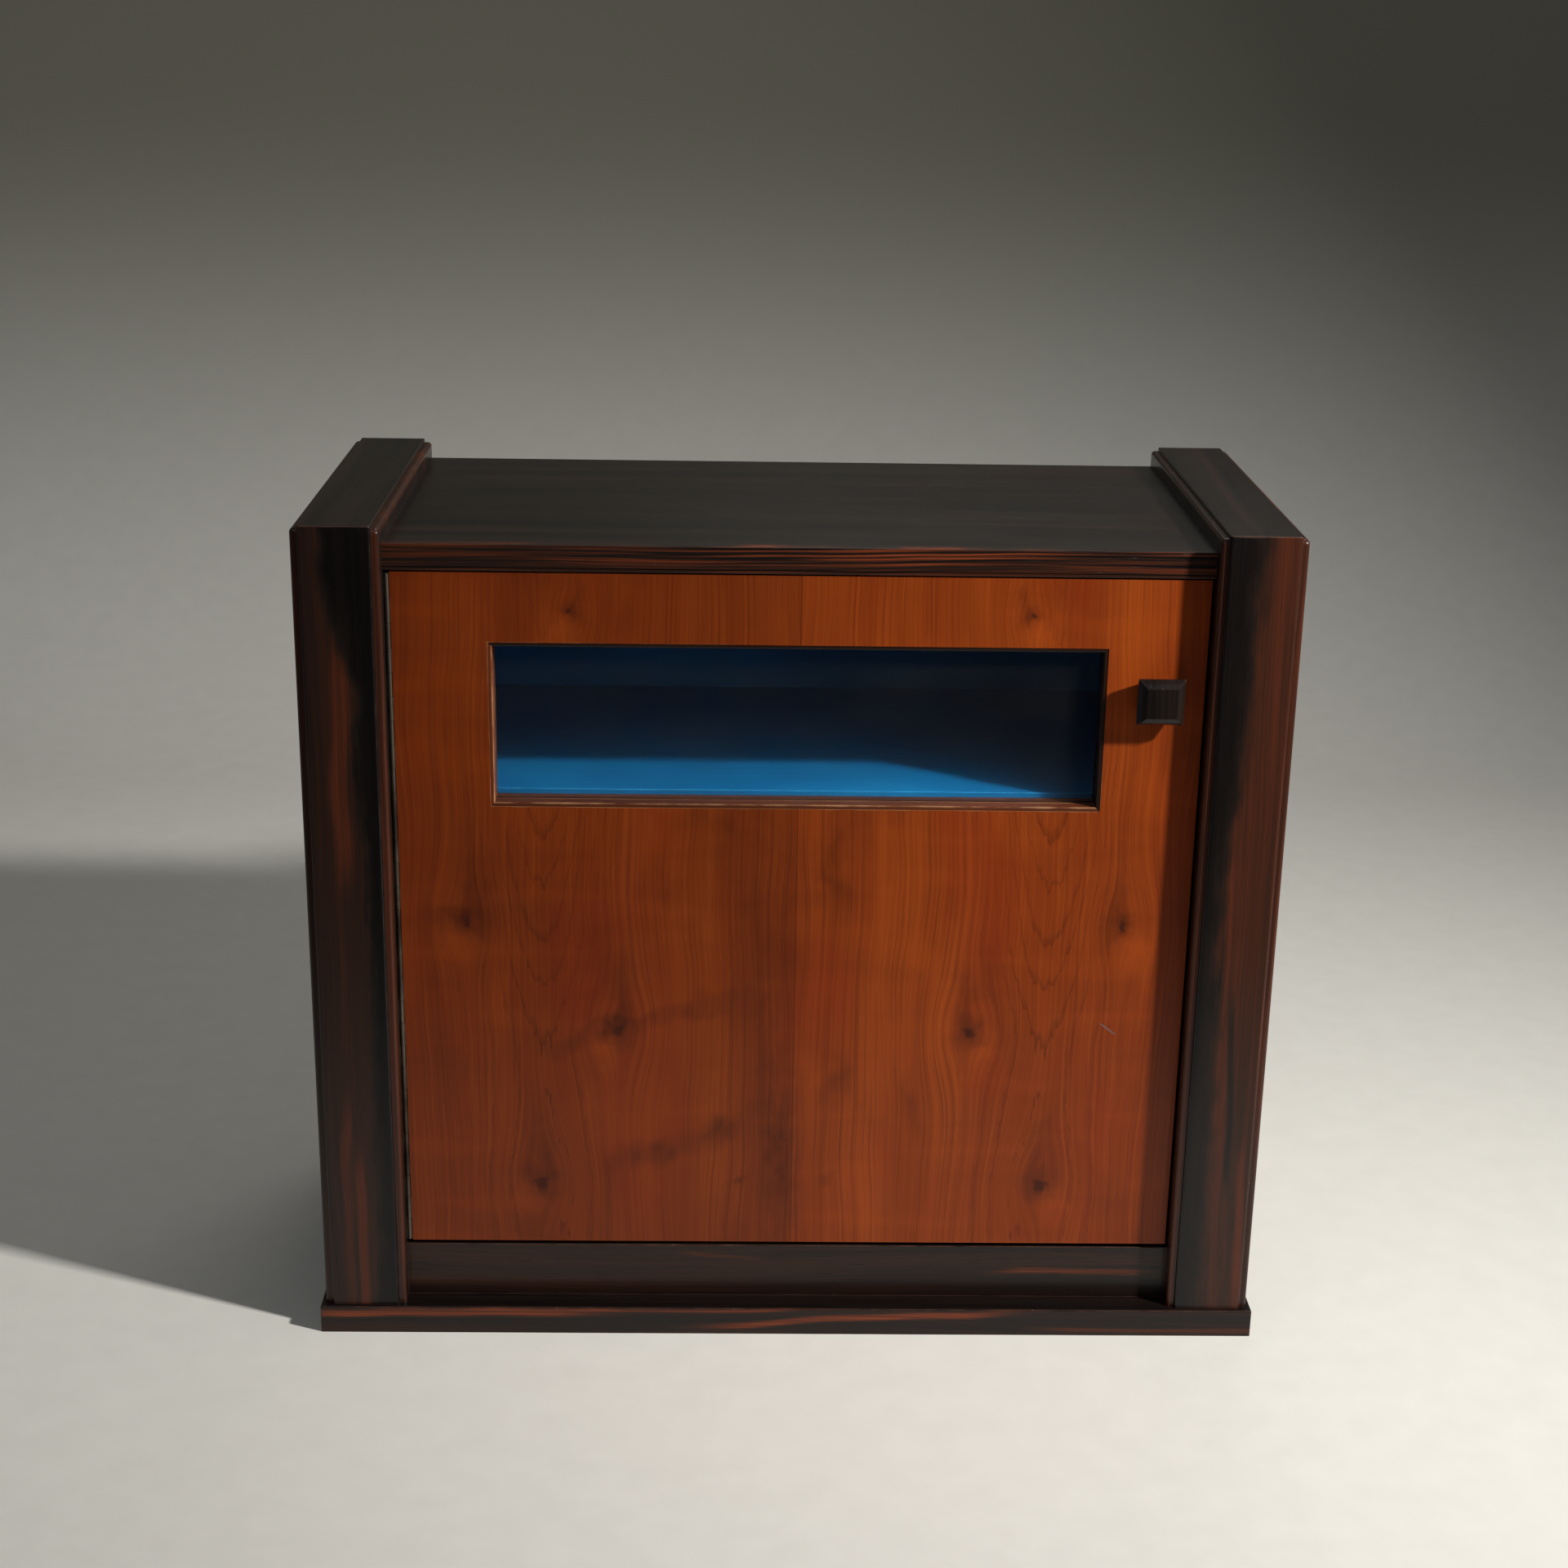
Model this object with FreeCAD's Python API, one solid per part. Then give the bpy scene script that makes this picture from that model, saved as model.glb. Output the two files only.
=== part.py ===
import FreeCAD, Part
import math
import os

# Dry bar cabinet: two thick side posts on a plinth, a top let in between them, and one
# wide veneered door with a window. Millimetres, +Z up, front towards -Y, origin on the
# floor under the middle of the plinth.

# Plinth board, which sets the width and depth of the whole cabinet
plinth_width = 800.0
plinth_depth = 360.0
plinth_height = 24.5
plinth_arris = 1.5

# Side posts: a mitred frame as core, with a cheek on each face that stops short of it.
# The limit is the most of a cheek's thickness that its rounding may take.
plinth_side_overhang = 4.0
plinth_front_overhang = 4.2
post_height = 680.5
core_width = 57.0
core_member = 45.0
core_round = 2.5
core_arris = 1.2
cheek_thickness = 6.0
cheek_setback = 2.8
cheek_drop = 3.2
cheek_nose = 3.2
cheek_nose_limit = 0.6
cheek_corner_ease = 0.8

# Top board between the posts, with an edging along its front that hangs a little lower
top_drop = 17.4
top_thickness = 18.0
top_setback = 18.5
edging_lip = 3.6
edging_depth = 8.0
edging_arris = 0.9
bead_height = 2.4
bead_groove = 0.9

# Bottom rail, floor, ceiling, linings and back
rail_setback = 0.5
rail_thickness = 22.0
rail_height = 48.5
rail_arris = 0.8
floor_thickness = 16.0
ceiling_thickness = 12.0
lining_thickness = 6.0
back_thickness = 8.0
back_inset = 4.0
stop_clearance = 0.5

# Shelf and the battens that carry shelf and floor
shelf_thickness = 15.0
shelf_step = 4.0
shelf_setback = 1.0
shelf_clearance = 0.5
cleat_thickness = 12.0
cleat_height = 18.0
cleat_inset = 14.0
bearer_thickness = 18.0
bearer_height = 18.0

# Door blank with its veneers
door_setback = 1.8
door_gap_bottom = 2.8
door_gap_top = 1.4
hinge_gap = 4.7
latch_gap = 1.6
door_core_thickness = 23.0
veneer_thickness = 1.0

# Window in the door: the hole in the veneer, placed from each post and from the door's top
# edge, and the lip of the lining strips that shows inside it
window_margin = 80.3
window_head = 56.8
window_height = 137.4
window_lip = 3.5
window_lip_step = 0.5
window_lip_round = 1.5
rebate_width = 8.0
window_lining_depth = 11.0
glass_thickness = 4.0
glass_clearance = 0.5

# Square knob with a front bevelled in two steps
knob_inset = 37.0
knob_drop = 39.8
knob_neck = 25.0
knob_width = 37.6
knob_shoulder = 32.0
knob_flat = 24.4
knob_flare = 12.2
knob_band = 1.4
knob_outer_bevel = 4.4
knob_inner_bevel = 1.8
knob_arris = 0.5

# Continuous hinge down the door's left edge
hinge_end_gap = 1.5
knuckle_count = 29
knuckle_clearance = 0.45
knuckle_end_play = 0.3
leaf_thickness = 0.9
leaf_width = 16.0
hinge_pin_radius = 1.1
hinge_running_fit = 0.05
hinge_screw_count = 9

# Ball catch in the door's right edge, with its strike let into the post
ball_radius = 4.5
ball_running_fit = 0.05
catch_lip = 0.3
catch_lip_thickness = 0.4
barrel_wall = 1.0
barrel_length = 20.0
spring_wall = 0.8
spring_play = 0.15
strike_thickness = 0.8
strike_width = 13.0
strike_height = 44.0
strike_screw_inset = 5.4
strike_hole_step = 1.6
strike_pocket = 2.2

# Fasteners
fastener_fit = 0.02
small_screw_shank = 1.4
small_screw_head = 2.7
small_screw_length = 14.0
batten_screw_shank = 2.0
batten_screw_head = 4.0
batten_screw_bite = 10.0
batten_screw_count = 3
plinth_screw_shank = 2.5
plinth_screw_head = 5.0
plinth_screw_bite = 22.0
plinth_screw_count = 3
back_screw_shank = 1.75
back_screw_head = 3.5
back_screw_bite = 18.0
back_screw_count = 5
knob_screw_shank = 2.2
knob_screw_bite = 12.0
knob_screw_head = 4.2
knob_screw_head_height = 2.2
slot_width = 0.9
slot_depth = 0.5
dowel_radius = 4.0
dowel_length = 36.0
top_dowel_count = 3
rail_dowel_count = 2
door_rail_dowel_count = 2
door_panel_dowel_count = 4
bead_pin_radius = 0.6
bead_pin_bite = 7.0
long_bead_pin_count = 4
short_bead_pin_count = 2

# Places that follow from the sizes above
front = -plinth_depth / 2
back = plinth_depth / 2
post_front = front + plinth_front_overhang
post_top = plinth_height + post_height
cheek_front = post_front + cheek_setback
cheek_top = post_top - cheek_drop
outer_face = plinth_width / 2 - plinth_side_overhang
core_outer = outer_face - cheek_thickness
core_inner = core_outer - core_width
inner_face = core_inner - cheek_thickness
top_surface = post_top - top_drop
top_under = top_surface - top_thickness
top_front = post_front + top_setback
edging_under = top_under - edging_lip
rail_front = top_front + rail_setback
rail_back = rail_front + rail_thickness
rail_top = plinth_height + rail_height
floor_under = rail_top - floor_thickness
ceiling_under = top_under - ceiling_thickness
back_inner = back - back_inset - back_thickness
back_outer = back - back_inset
lining_face = inner_face - lining_thickness
door_front = top_front + door_setback
core_front = door_front + veneer_thickness
core_back = core_front + door_core_thickness
door_back = core_back + veneer_thickness
door_left = hinge_gap - inner_face
door_right = inner_face - latch_gap
door_bottom = rail_top + door_gap_bottom
door_top = edging_under - door_gap_top
door_middle = (core_front + core_back) / 2
seam = (door_left + door_right) / 2
stop_front = door_back + stop_clearance
window_left = window_margin - inner_face
window_right = inner_face - window_margin
window_top = door_top - window_head
window_bottom = window_top - window_height
opening_left = window_left - rebate_width
opening_right = window_right + rebate_width
opening_bottom = window_bottom - rebate_width
opening_top = window_top + rebate_width
sight_left = window_left + window_lip
sight_right = window_right - window_lip
sight_bottom = window_bottom + window_lip
sight_top = window_top - window_lip
lip_front = door_front + window_lip_step
glass_front = core_front + window_lining_depth
glass_back = glass_front + glass_thickness
shelf_top = sight_bottom + shelf_step
shelf_under = shelf_top - shelf_thickness
shelf_front = stop_front + shelf_setback
knob_x = door_right - knob_inset
knob_z = window_top - knob_drop
knob_shoulder_out = knob_flare + knob_band + knob_outer_bevel
knob_projection = knob_shoulder_out + knob_inner_bevel
hinge_x = -inner_face + hinge_gap / 2
hinge_y = door_front
hinge_bottom = door_bottom + hinge_end_gap
hinge_top = door_top - hinge_end_gap

right = FreeCAD.Vector(1, 0, 0)
left = FreeCAD.Vector(-1, 0, 0)
forward = FreeCAD.Vector(0, -1, 0)
backward = FreeCAD.Vector(0, 1, 0)
up = FreeCAD.Vector(0, 0, 1)
down = FreeCAD.Vector(0, 0, -1)


def slab(x, y, z):
    """Board between pairs of limits, given in either order."""
    low = FreeCAD.Vector(min(x), min(y), min(z))
    return Part.makeBox(max(x) - low.x, max(y) - low.y, max(z) - low.z, low)


def rod(radius, start, direction, length):
    return Part.makeCylinder(radius, length, FreeCAD.Vector(*start), direction)


def spread(low, high, count):
    """Places along a length, evenly spaced and half a step in from each end."""
    step = (high - low) / count
    return [low + step * (index + 0.5) for index in range(count)]


def edges_at(shape, **where):
    """Edges whose ends all lie at the given coordinates."""
    found = []
    for edge in shape.Edges:
        ends = [vertex.Point for vertex in edge.Vertexes]
        if all(abs(getattr(end, axis) - place) < 1e-6 for end in ends for axis, place in where.items()):
            found.append(edge)
    return found


def mitred_sides(low, high, width):
    """Outlines of the four members of a mitred frame: bottom, right, top and left."""
    outer = [low, (high[0], low[1]), high, (low[0], high[1])]
    inner_low = (low[0] + width, low[1] + width)
    inner_high = (high[0] - width, high[1] - width)
    inner = [inner_low, (inner_high[0], inner_low[1]), inner_high, (inner_low[0], inner_high[1])]
    return [[outer[i], outer[(i + 1) % 4], inner[(i + 1) % 4], inner[i]] for i in range(4)]


def prism(points, along):
    """Solid swept from a closed outline of points."""
    corners = [FreeCAD.Vector(*point) for point in points]
    return Part.Face(Part.makePolygon(corners + corners[:1])).extrude(along)


def drilled(shape, holes):
    """Board with every hole that reaches it."""
    near = [hole for hole in holes if hole.BoundBox.intersect(shape.BoundBox)]
    return shape.cut(near) if near else shape


def aimed(shape, point, direction):
    """Copy of a fastener, moved so that it is driven from a point along a direction."""
    placed = shape.copy()
    placed.Placement = FreeCAD.Placement(FreeCAD.Vector(*point), FreeCAD.Rotation(down, direction))
    return placed


def screw_body(shank, head, length):
    """Countersunk screw with its head flush at the origin and its point down."""
    sink = head - shank
    head_cone = Part.makeCone(shank, head, sink, FreeCAD.Vector(0, 0, -sink))
    return head_cone.fuse(Part.makeCylinder(shank, length - sink, FreeCAD.Vector(0, 0, -length)))


def countersunk(shank, head, length, places):
    """Slotted wood screws at places, and the holes that take them."""
    slot = slab((-head, head), (-slot_width / 2, slot_width / 2), (-slot_depth, 0))
    screw = screw_body(shank, head, length).cut(slot)
    hole = screw_body(shank + fastener_fit, head + fastener_fit, length + fastener_fit)
    screws = [aimed(screw, point, direction) for point, direction in places]
    holes = [aimed(hole, point, direction) for point, direction in places]
    return screws, holes


def pegs(radius, length, places):
    """Round dowels or pins at places, and the holes that take them."""
    peg = Part.makeCylinder(radius, length, FreeCAD.Vector(0, 0, -length))
    hole = Part.makeCylinder(radius + fastener_fit, length + fastener_fit, FreeCAD.Vector(0, 0, -length))
    return ([aimed(peg, point, direction) for point, direction in places],
            [aimed(hole, point, direction) for point, direction in places])


nodes = {}


def keep(name, shape):
    """Store a piece, as its bare solid where it is one."""
    nodes[name] = shape.Solids[0] if len(shape.Solids) == 1 else shape


def keep_group(name, shapes):
    nodes[name] = Part.makeCompound(shapes)


# Fasteners of the case, set out before the boards that they go into
core_hollow = (post_front + core_member, back - core_member)
rail_depth = (rail_front + rail_back) / 2

dowel_places = []
for side, outward in ((-1, left), (1, right)):
    dowel_start = side * (inner_face - dowel_length / 2)
    for y in spread(*core_hollow, top_dowel_count):
        dowel_places.append(((dowel_start, y, (top_surface + top_under) / 2), outward))
    for z in spread(plinth_height, rail_top, rail_dowel_count):
        dowel_places.append(((dowel_start, rail_depth, z), outward))
carcass_dowels, dowel_holes = pegs(dowel_radius, dowel_length, dowel_places)

plinth_screw_places = []
for x in (-(core_inner + core_outer) / 2, (core_inner + core_outer) / 2):
    for y in spread(post_front, back, plinth_screw_count):
        plinth_screw_places.append(((x, y, 0), up))
for x in spread(-inner_face, inner_face, plinth_screw_count):
    plinth_screw_places.append(((x, rail_depth, 0), up))
plinth_screws, plinth_screw_holes = countersunk(
    plinth_screw_shank, plinth_screw_head, plinth_height + plinth_screw_bite, plinth_screw_places)

bearer_screw_places = []
cleat_screw_places = []
for side, outward in ((-1, left), (1, right)):
    for y in spread(*core_hollow, batten_screw_count):
        bearer_face = side * (inner_face - bearer_thickness)
        bearer_screw_places.append(((bearer_face, y, floor_under - bearer_height / 2), outward))
        cleat_face = side * (lining_face - cleat_thickness)
        cleat_screw_places.append(((cleat_face, y, shelf_under - cleat_height / 2), outward))
bearer_screws, bearer_screw_holes = countersunk(
    batten_screw_shank, batten_screw_head, bearer_thickness + batten_screw_bite, bearer_screw_places)
cleat_screws, cleat_screw_holes = countersunk(
    batten_screw_shank, batten_screw_head, cleat_thickness + batten_screw_bite, cleat_screw_places)

back_screw_places = []
for x in spread(-inner_face, inner_face, back_screw_count):
    for z in ((floor_under + rail_top) / 2, (ceiling_under + top_under) / 2):
        back_screw_places.append(((x, back_outer, z), forward))
back_panel_screws, back_screw_holes = countersunk(
    back_screw_shank, back_screw_head, back_thickness + back_screw_bite, back_screw_places)

leaf_screw_y = hinge_y + (knuckle_clearance + hinge_gap / 2 + leaf_width) / 2
case_leaf_face = leaf_thickness - inner_face
hinge_case_screws, case_leaf_holes = countersunk(
    small_screw_shank, small_screw_head, small_screw_length,
    [((case_leaf_face, leaf_screw_y, z), left)
     for z in spread(hinge_bottom, hinge_top, hinge_screw_count)])

strike_screw_rise = strike_height / 2 - strike_screw_inset
strike_screws, strike_screw_holes = countersunk(
    small_screw_shank, small_screw_head, small_screw_length,
    [((inner_face, door_middle, knob_z + offset), right)
     for offset in (-strike_screw_rise, strike_screw_rise)])
strike_hole = rod(ball_radius - strike_hole_step, (inner_face, door_middle, knob_z), right, strike_pocket)
strike_y = (door_middle - strike_width / 2, door_middle + strike_width / 2)
strike_z = (knob_z - strike_height / 2, knob_z + strike_height / 2)
strike_blank = slab((inner_face, inner_face + strike_thickness), strike_y, strike_z)

case_holes = (dowel_holes + plinth_screw_holes + bearer_screw_holes + cleat_screw_holes
              + back_screw_holes + case_leaf_holes + strike_screw_holes + [strike_hole])

keep_group("carcass_dowels", carcass_dowels)
keep_group("plinth_screws", plinth_screws)
keep_group("batten_screws", bearer_screws + cleat_screws)
keep_group("back_panel_screws", back_panel_screws)
keep_group("hinge_case_screws", hinge_case_screws)
keep_group("strike_screws", strike_screws)

# Plinth board with softened upper edges and corners
plinth = slab((-plinth_width / 2, plinth_width / 2), (front, back), (0, plinth_height))
plinth_edges = edges_at(plinth, z=plinth_height)
for x in (-plinth_width / 2, plinth_width / 2):
    plinth_edges += edges_at(plinth, x=x, y=front)
keep("plinth_board", drilled(plinth.makeFillet(plinth_arris, plinth_edges), case_holes))


# Side posts
def post_core(side):
    """Post core as one block, rounded down its two front corners and softened along its top."""
    faces = (side * core_inner, side * core_outer)
    block = slab(faces, (post_front, back), (plinth_height, post_top))
    upright = [edge for x in faces for edge in edges_at(block, x=x, y=post_front)]
    block = block.makeFillet(core_round, upright)
    square = edges_at(block, y=back)
    rim = [edge for edge in edges_at(block, z=post_top) if not any(edge.isSame(other) for other in square)]
    return block.makeFillet(core_arris, rim)


def cheek(covered, free):
    """Thin board on a face of a post, its free face rounded over at the front and the top."""
    nose = min(cheek_nose, cheek_nose_limit * cheek_thickness)
    board = slab((covered, free), (cheek_front, back), (plinth_height, cheek_top))
    board = board.makeFillet(nose + cheek_corner_ease, edges_at(board, y=cheek_front, z=cheek_top))
    square = edges_at(board, z=plinth_height) + edges_at(board, y=back)
    rim = [edge for edge in edges_at(board, x=free) if not any(edge.isSame(other) for other in square)]
    return board.makeFillet(nose, rim)


member_names = ("foot_rail", "back_stile", "top_rail", "front_stile")
for side, side_name in ((-1, "left"), (1, "right")):
    core = post_core(side)
    outlines = mitred_sides((post_front, plinth_height), (back, post_top), core_member)
    start = min(side * core_inner, side * core_outer)
    for member_name, outline in zip(member_names, outlines):
        wedge = prism([(start, y, z) for y, z in outline], right * core_width)
        keep(f"{side_name}_post_{member_name}", drilled(core.common(wedge), case_holes))
    keep(f"{side_name}_post_outer_cheek", cheek(side * core_outer, side * outer_face))
    inner_cheek = drilled(cheek(side * core_inner, side * inner_face), case_holes)
    if side > 0:
        inner_cheek = inner_cheek.cut(strike_blank)
    keep(f"{side_name}_post_inner_cheek", inner_cheek)

# Top board and its front edging, which ends in a small bead along its lower edge
between_posts = (-inner_face, inner_face)
edging_back = top_front + edging_depth
edging = slab(between_posts, (top_front, edging_back), (edging_under, top_surface))
edging_edges = edges_at(edging, y=top_front, z=top_surface) + edges_at(edging, y=top_front, z=edging_under)
edging = edging.makeFillet(edging_arris, edging_edges)
groove_z = (edging_under + bead_height, edging_under + bead_height + bead_groove)
groove = slab(between_posts, (top_front, top_front + bead_groove), groove_z)
keep("top_front_edging", edging.cut(groove))
top_board = slab(between_posts, (edging_back, back), (top_under, top_surface))
keep("top_board", drilled(top_board, case_holes))

# Bottom rail, floor, ceiling, linings and back
rail = slab(between_posts, (rail_front, rail_back), (plinth_height, rail_top))
rail = rail.makeFillet(rail_arris, edges_at(rail, y=rail_front, z=rail_top))
keep("bottom_rail", drilled(rail, case_holes))
floor = slab(between_posts, (rail_back, back_inner), (floor_under, rail_top))
keep("floor_board", drilled(floor, case_holes))
ceiling = slab(between_posts, (stop_front, back_inner), (ceiling_under, top_under))
keep("ceiling_panel", drilled(ceiling, case_holes))
back_panel = slab(between_posts, (back_inner, back_outer), (plinth_height, top_under))
keep("back_panel", drilled(back_panel, case_holes))
for side, side_name in ((-1, "left"), (1, "right")):
    lining = slab((side * lining_face, side * inner_face), (stop_front, back_inner),
                  (rail_top, ceiling_under))
    keep(f"{side_name}_lining", drilled(lining, case_holes))
    cleat = slab((side * (lining_face - cleat_thickness), side * lining_face),
                 (stop_front + cleat_inset, back_inner), (shelf_under - cleat_height, shelf_under))
    keep(f"{side_name}_shelf_cleat", drilled(cleat, case_holes))

floor_bearers = []
for side in (-1, 1):
    bearer = slab((side * (inner_face - bearer_thickness), side * inner_face),
                  (rail_back, back_inner), (floor_under - bearer_height, floor_under))
    floor_bearers.append(drilled(bearer, case_holes))
keep_group("floor_bearers", floor_bearers)

shelf_end = lining_face - shelf_clearance
keep("shelf", slab((-shelf_end, shelf_end), (shelf_front, back_inner), (shelf_under, shelf_top)))

# Strike of the ball catch, let in flush with the right post's inner face
keep("strike_plate", drilled(strike_blank, strike_screw_holes + [strike_hole]))


# Continuous hinge: two leaves whose knuckles alternate along one pin
def hinge_leaf(side, first_knuckle, holes):
    """Leaf against the post (side -1) or the door (side 1), with every second knuckle."""
    knuckle_radius = hinge_gap / 2 - knuckle_clearance
    outer = hinge_x + side * hinge_gap / 2
    inner = outer - side * leaf_thickness
    plate_front = hinge_y + hinge_gap / 2
    plate = slab((inner, outer), (plate_front, hinge_y + leaf_width), (hinge_bottom, hinge_top))
    pitch = (hinge_top - hinge_bottom) / knuckle_count
    length = pitch - knuckle_end_play
    joined = []
    for index in range(first_knuckle, knuckle_count, 2):
        z = hinge_bottom + index * pitch + knuckle_end_play / 2
        joined.append(rod(knuckle_radius, (hinge_x, hinge_y, z), up, length))
        joined.append(slab((inner, outer), (hinge_y, plate_front), (z, z + length)))
    bore = rod(hinge_pin_radius + hinge_running_fit, (hinge_x, hinge_y, hinge_bottom), up,
               hinge_top - hinge_bottom)
    return drilled(plate.multiFuse(joined).cut(bore), holes)


keep("hinge_case_leaf", hinge_leaf(-1, 0, case_leaf_holes))
keep("hinge_pin", rod(hinge_pin_radius, (hinge_x, hinge_y, hinge_bottom), up, hinge_top - hinge_bottom))

# Fasteners and catch of the door, set out before its boards
door_leaf_face = door_left - leaf_thickness
hinge_door_screws, door_leaf_holes = countersunk(
    small_screw_shank, small_screw_head, small_screw_length,
    [((door_leaf_face, leaf_screw_y, z), right)
     for z in spread(hinge_bottom, hinge_top, hinge_screw_count + 1)])
keep("hinge_door_leaf", hinge_leaf(1, 1, door_leaf_holes))
keep_group("hinge_door_screws", hinge_door_screws)

door_dowel_places = []
for joint in (opening_left, opening_right):
    dowel_start = joint - dowel_length / 2
    rail_heights = spread(opening_top, door_top, door_rail_dowel_count)
    panel_heights = spread(door_bottom, opening_bottom, door_panel_dowel_count)
    for z in rail_heights + panel_heights:
        door_dowel_places.append(((dowel_start, door_middle, z), right))
door_dowels, door_dowel_holes = pegs(dowel_radius, dowel_length, door_dowel_places)
keep_group("door_dowels", door_dowels)

bead_pin_places = []
pin_y = (glass_back + door_back) / 2
strip_width = rebate_width + window_lip
for x in spread(sight_left, sight_right, long_bead_pin_count):
    bead_pin_places.append(((x, pin_y, sight_bottom), down))
    bead_pin_places.append(((x, pin_y, sight_top), up))
for z in spread(sight_bottom, sight_top, short_bead_pin_count):
    bead_pin_places.append(((sight_left, pin_y, z), left))
    bead_pin_places.append(((sight_right, pin_y, z), right))
bead_pins, bead_pin_holes = pegs(bead_pin_radius, strip_width + bead_pin_bite, bead_pin_places)
keep_group("bead_pins", bead_pins)

knob_screw_length = door_back - door_front + knob_screw_bite
knob_screw_start = (knob_x, door_back, knob_z)
knob_screw_hole = rod(knob_screw_shank + fastener_fit, knob_screw_start, forward,
                      knob_screw_length + fastener_fit)
knob_screw = rod(knob_screw_shank, knob_screw_start, forward, knob_screw_length).fuse(
    rod(knob_screw_head, knob_screw_start, backward, knob_screw_head_height))
driver_slot = slab((knob_x - knob_screw_head, knob_x + knob_screw_head),
                   (door_back + knob_screw_head_height - slot_depth, door_back + knob_screw_head_height),
                   (knob_z - slot_width / 2, knob_z + slot_width / 2))
keep("knob_screw", knob_screw.cut(driver_slot))

bore_radius = ball_radius + ball_running_fit
mouth_radius = ball_radius - catch_lip
barrel_radius = bore_radius + barrel_wall
barrel_start = door_right - barrel_length
barrel_hole = rod(barrel_radius + fastener_fit, (barrel_start, door_middle, knob_z), right, barrel_length)
lip_inner = door_right - catch_lip_thickness
ball_x = lip_inner - math.sqrt(ball_radius ** 2 - (mouth_radius - ball_running_fit) ** 2)
bore_start = barrel_start + barrel_wall
barrel = rod(barrel_radius, (barrel_start, door_middle, knob_z), right, barrel_length)
barrel = barrel.cut(rod(bore_radius, (bore_start, door_middle, knob_z), right, lip_inner - bore_start))
barrel = barrel.cut(rod(mouth_radius, (lip_inner, door_middle, knob_z), right, catch_lip_thickness))
keep("catch_barrel", barrel)
keep("catch_ball", Part.makeSphere(ball_radius, FreeCAD.Vector(ball_x, door_middle, knob_z)))
spring_radius = bore_radius - spring_play
spring_inner = spring_radius - spring_wall
spring_end = ball_x - math.sqrt(ball_radius ** 2 - spring_inner ** 2) - spring_play
spring = rod(spring_radius, (bore_start, door_middle, knob_z), right, spring_end - bore_start)
keep("catch_spring", spring.cut(
    rod(spring_inner, (bore_start, door_middle, knob_z), right, spring_end - bore_start)))

door_holes = door_dowel_holes + door_leaf_holes + bead_pin_holes + [knob_screw_hole, barrel_hole]

# Door blank: two stiles, a rail over the window and a panel under it
core_y = (core_front, core_back)
door_z = (door_bottom, door_top)
blank = {
    "door_left_stile": slab((door_left, opening_left), core_y, door_z),
    "door_right_stile": slab((opening_right, door_right), core_y, door_z),
    "door_top_rail": slab((opening_left, opening_right), core_y, (opening_top, door_top)),
    "door_lower_panel": slab((opening_left, opening_right), core_y, (door_bottom, opening_bottom)),
}
for name, board in blank.items():
    keep(name, drilled(board, door_holes))

# Veneers: two mirrored leaves on the face, and one sheet on the back
window_hole = slab((window_left, window_right), (door_front, core_front), (window_bottom, window_top))
left_leaf = slab((door_left, seam), (door_front, core_front), door_z)
right_leaf = slab((seam, door_right), (door_front, core_front), door_z)
keep("door_left_veneer", left_leaf.cut(window_hole))
keep("door_right_veneer", drilled(right_leaf.cut(window_hole), door_holes))
opening_hole = slab((opening_left, opening_right), (core_back, door_back), (opening_bottom, opening_top))
back_sheet = slab((door_left, door_right), (core_back, door_back), door_z)
keep("door_back_veneer", drilled(back_sheet.cut(opening_hole), door_holes))

# Window: lining strips in front of the glass and beads behind it, both mitred. A lip of each
# strip comes forward into the hole in the veneer, where its inner edge is rounded.
strips = {
    "bottom": {"z": sight_bottom},
    "right": {"x": sight_right},
    "top": {"z": sight_top},
    "left": {"x": sight_left},
}
strip_outlines = mitred_sides((opening_left, opening_bottom), (opening_right, opening_top), strip_width)
face_sheet = slab((door_left, door_right), (door_front, core_front), door_z).cut(window_hole)
for (strip_name, sight), outline in zip(strips.items(), strip_outlines):
    lining_strip = prism([(x, lip_front, z) for x, z in outline], backward * (glass_front - lip_front))
    lining_strip = lining_strip.cut(face_sheet)
    lip_edge = edges_at(lining_strip, y=lip_front, **sight)
    keep(f"window_lining_{strip_name}", lining_strip.makeFillet(window_lip_round, lip_edge))
    bead = prism([(x, glass_back, z) for x, z in outline], backward * (door_back - glass_back))
    keep(f"glazing_bead_{strip_name}", drilled(bead, door_holes))
keep("glass_pane", slab((opening_left + glass_clearance, opening_right - glass_clearance),
                        (glass_front, glass_back),
                        (opening_bottom + glass_clearance, opening_top - glass_clearance)))


# Knob: a square block that flares from its neck to a thin band and is bevelled twice to a flat
def knob_section(width, distance):
    half = width / 2
    corners = [FreeCAD.Vector(knob_x + x * half, door_front - distance, knob_z + z * half)
               for x, z in ((-1, -1), (1, -1), (1, 1), (-1, 1), (-1, -1))]
    return Part.makePolygon(corners)


knob_sections = [knob_section(knob_neck, 0), knob_section(knob_width, knob_flare),
                 knob_section(knob_width, knob_flare + knob_band),
                 knob_section(knob_shoulder, knob_shoulder_out), knob_section(knob_flat, knob_projection)]
knob = Part.makeLoft(knob_sections, True, True)
knob_edges = [edge for edge in knob.Edges if edge.BoundBox.YMax < door_front - knob_flare / 2]
knob = knob.makeFillet(knob_arris, knob_edges)
keep("knob", drilled(knob, [knob_screw_hole]))

os.makedirs("parts", exist_ok=True)
for name, shape in nodes.items():
    shape.exportStep(f"parts/{name}.step")
print(len(nodes), "pieces")
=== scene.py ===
import math

import bmesh
import bpy
from mathutils import Euler, Matrix, Vector


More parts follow.
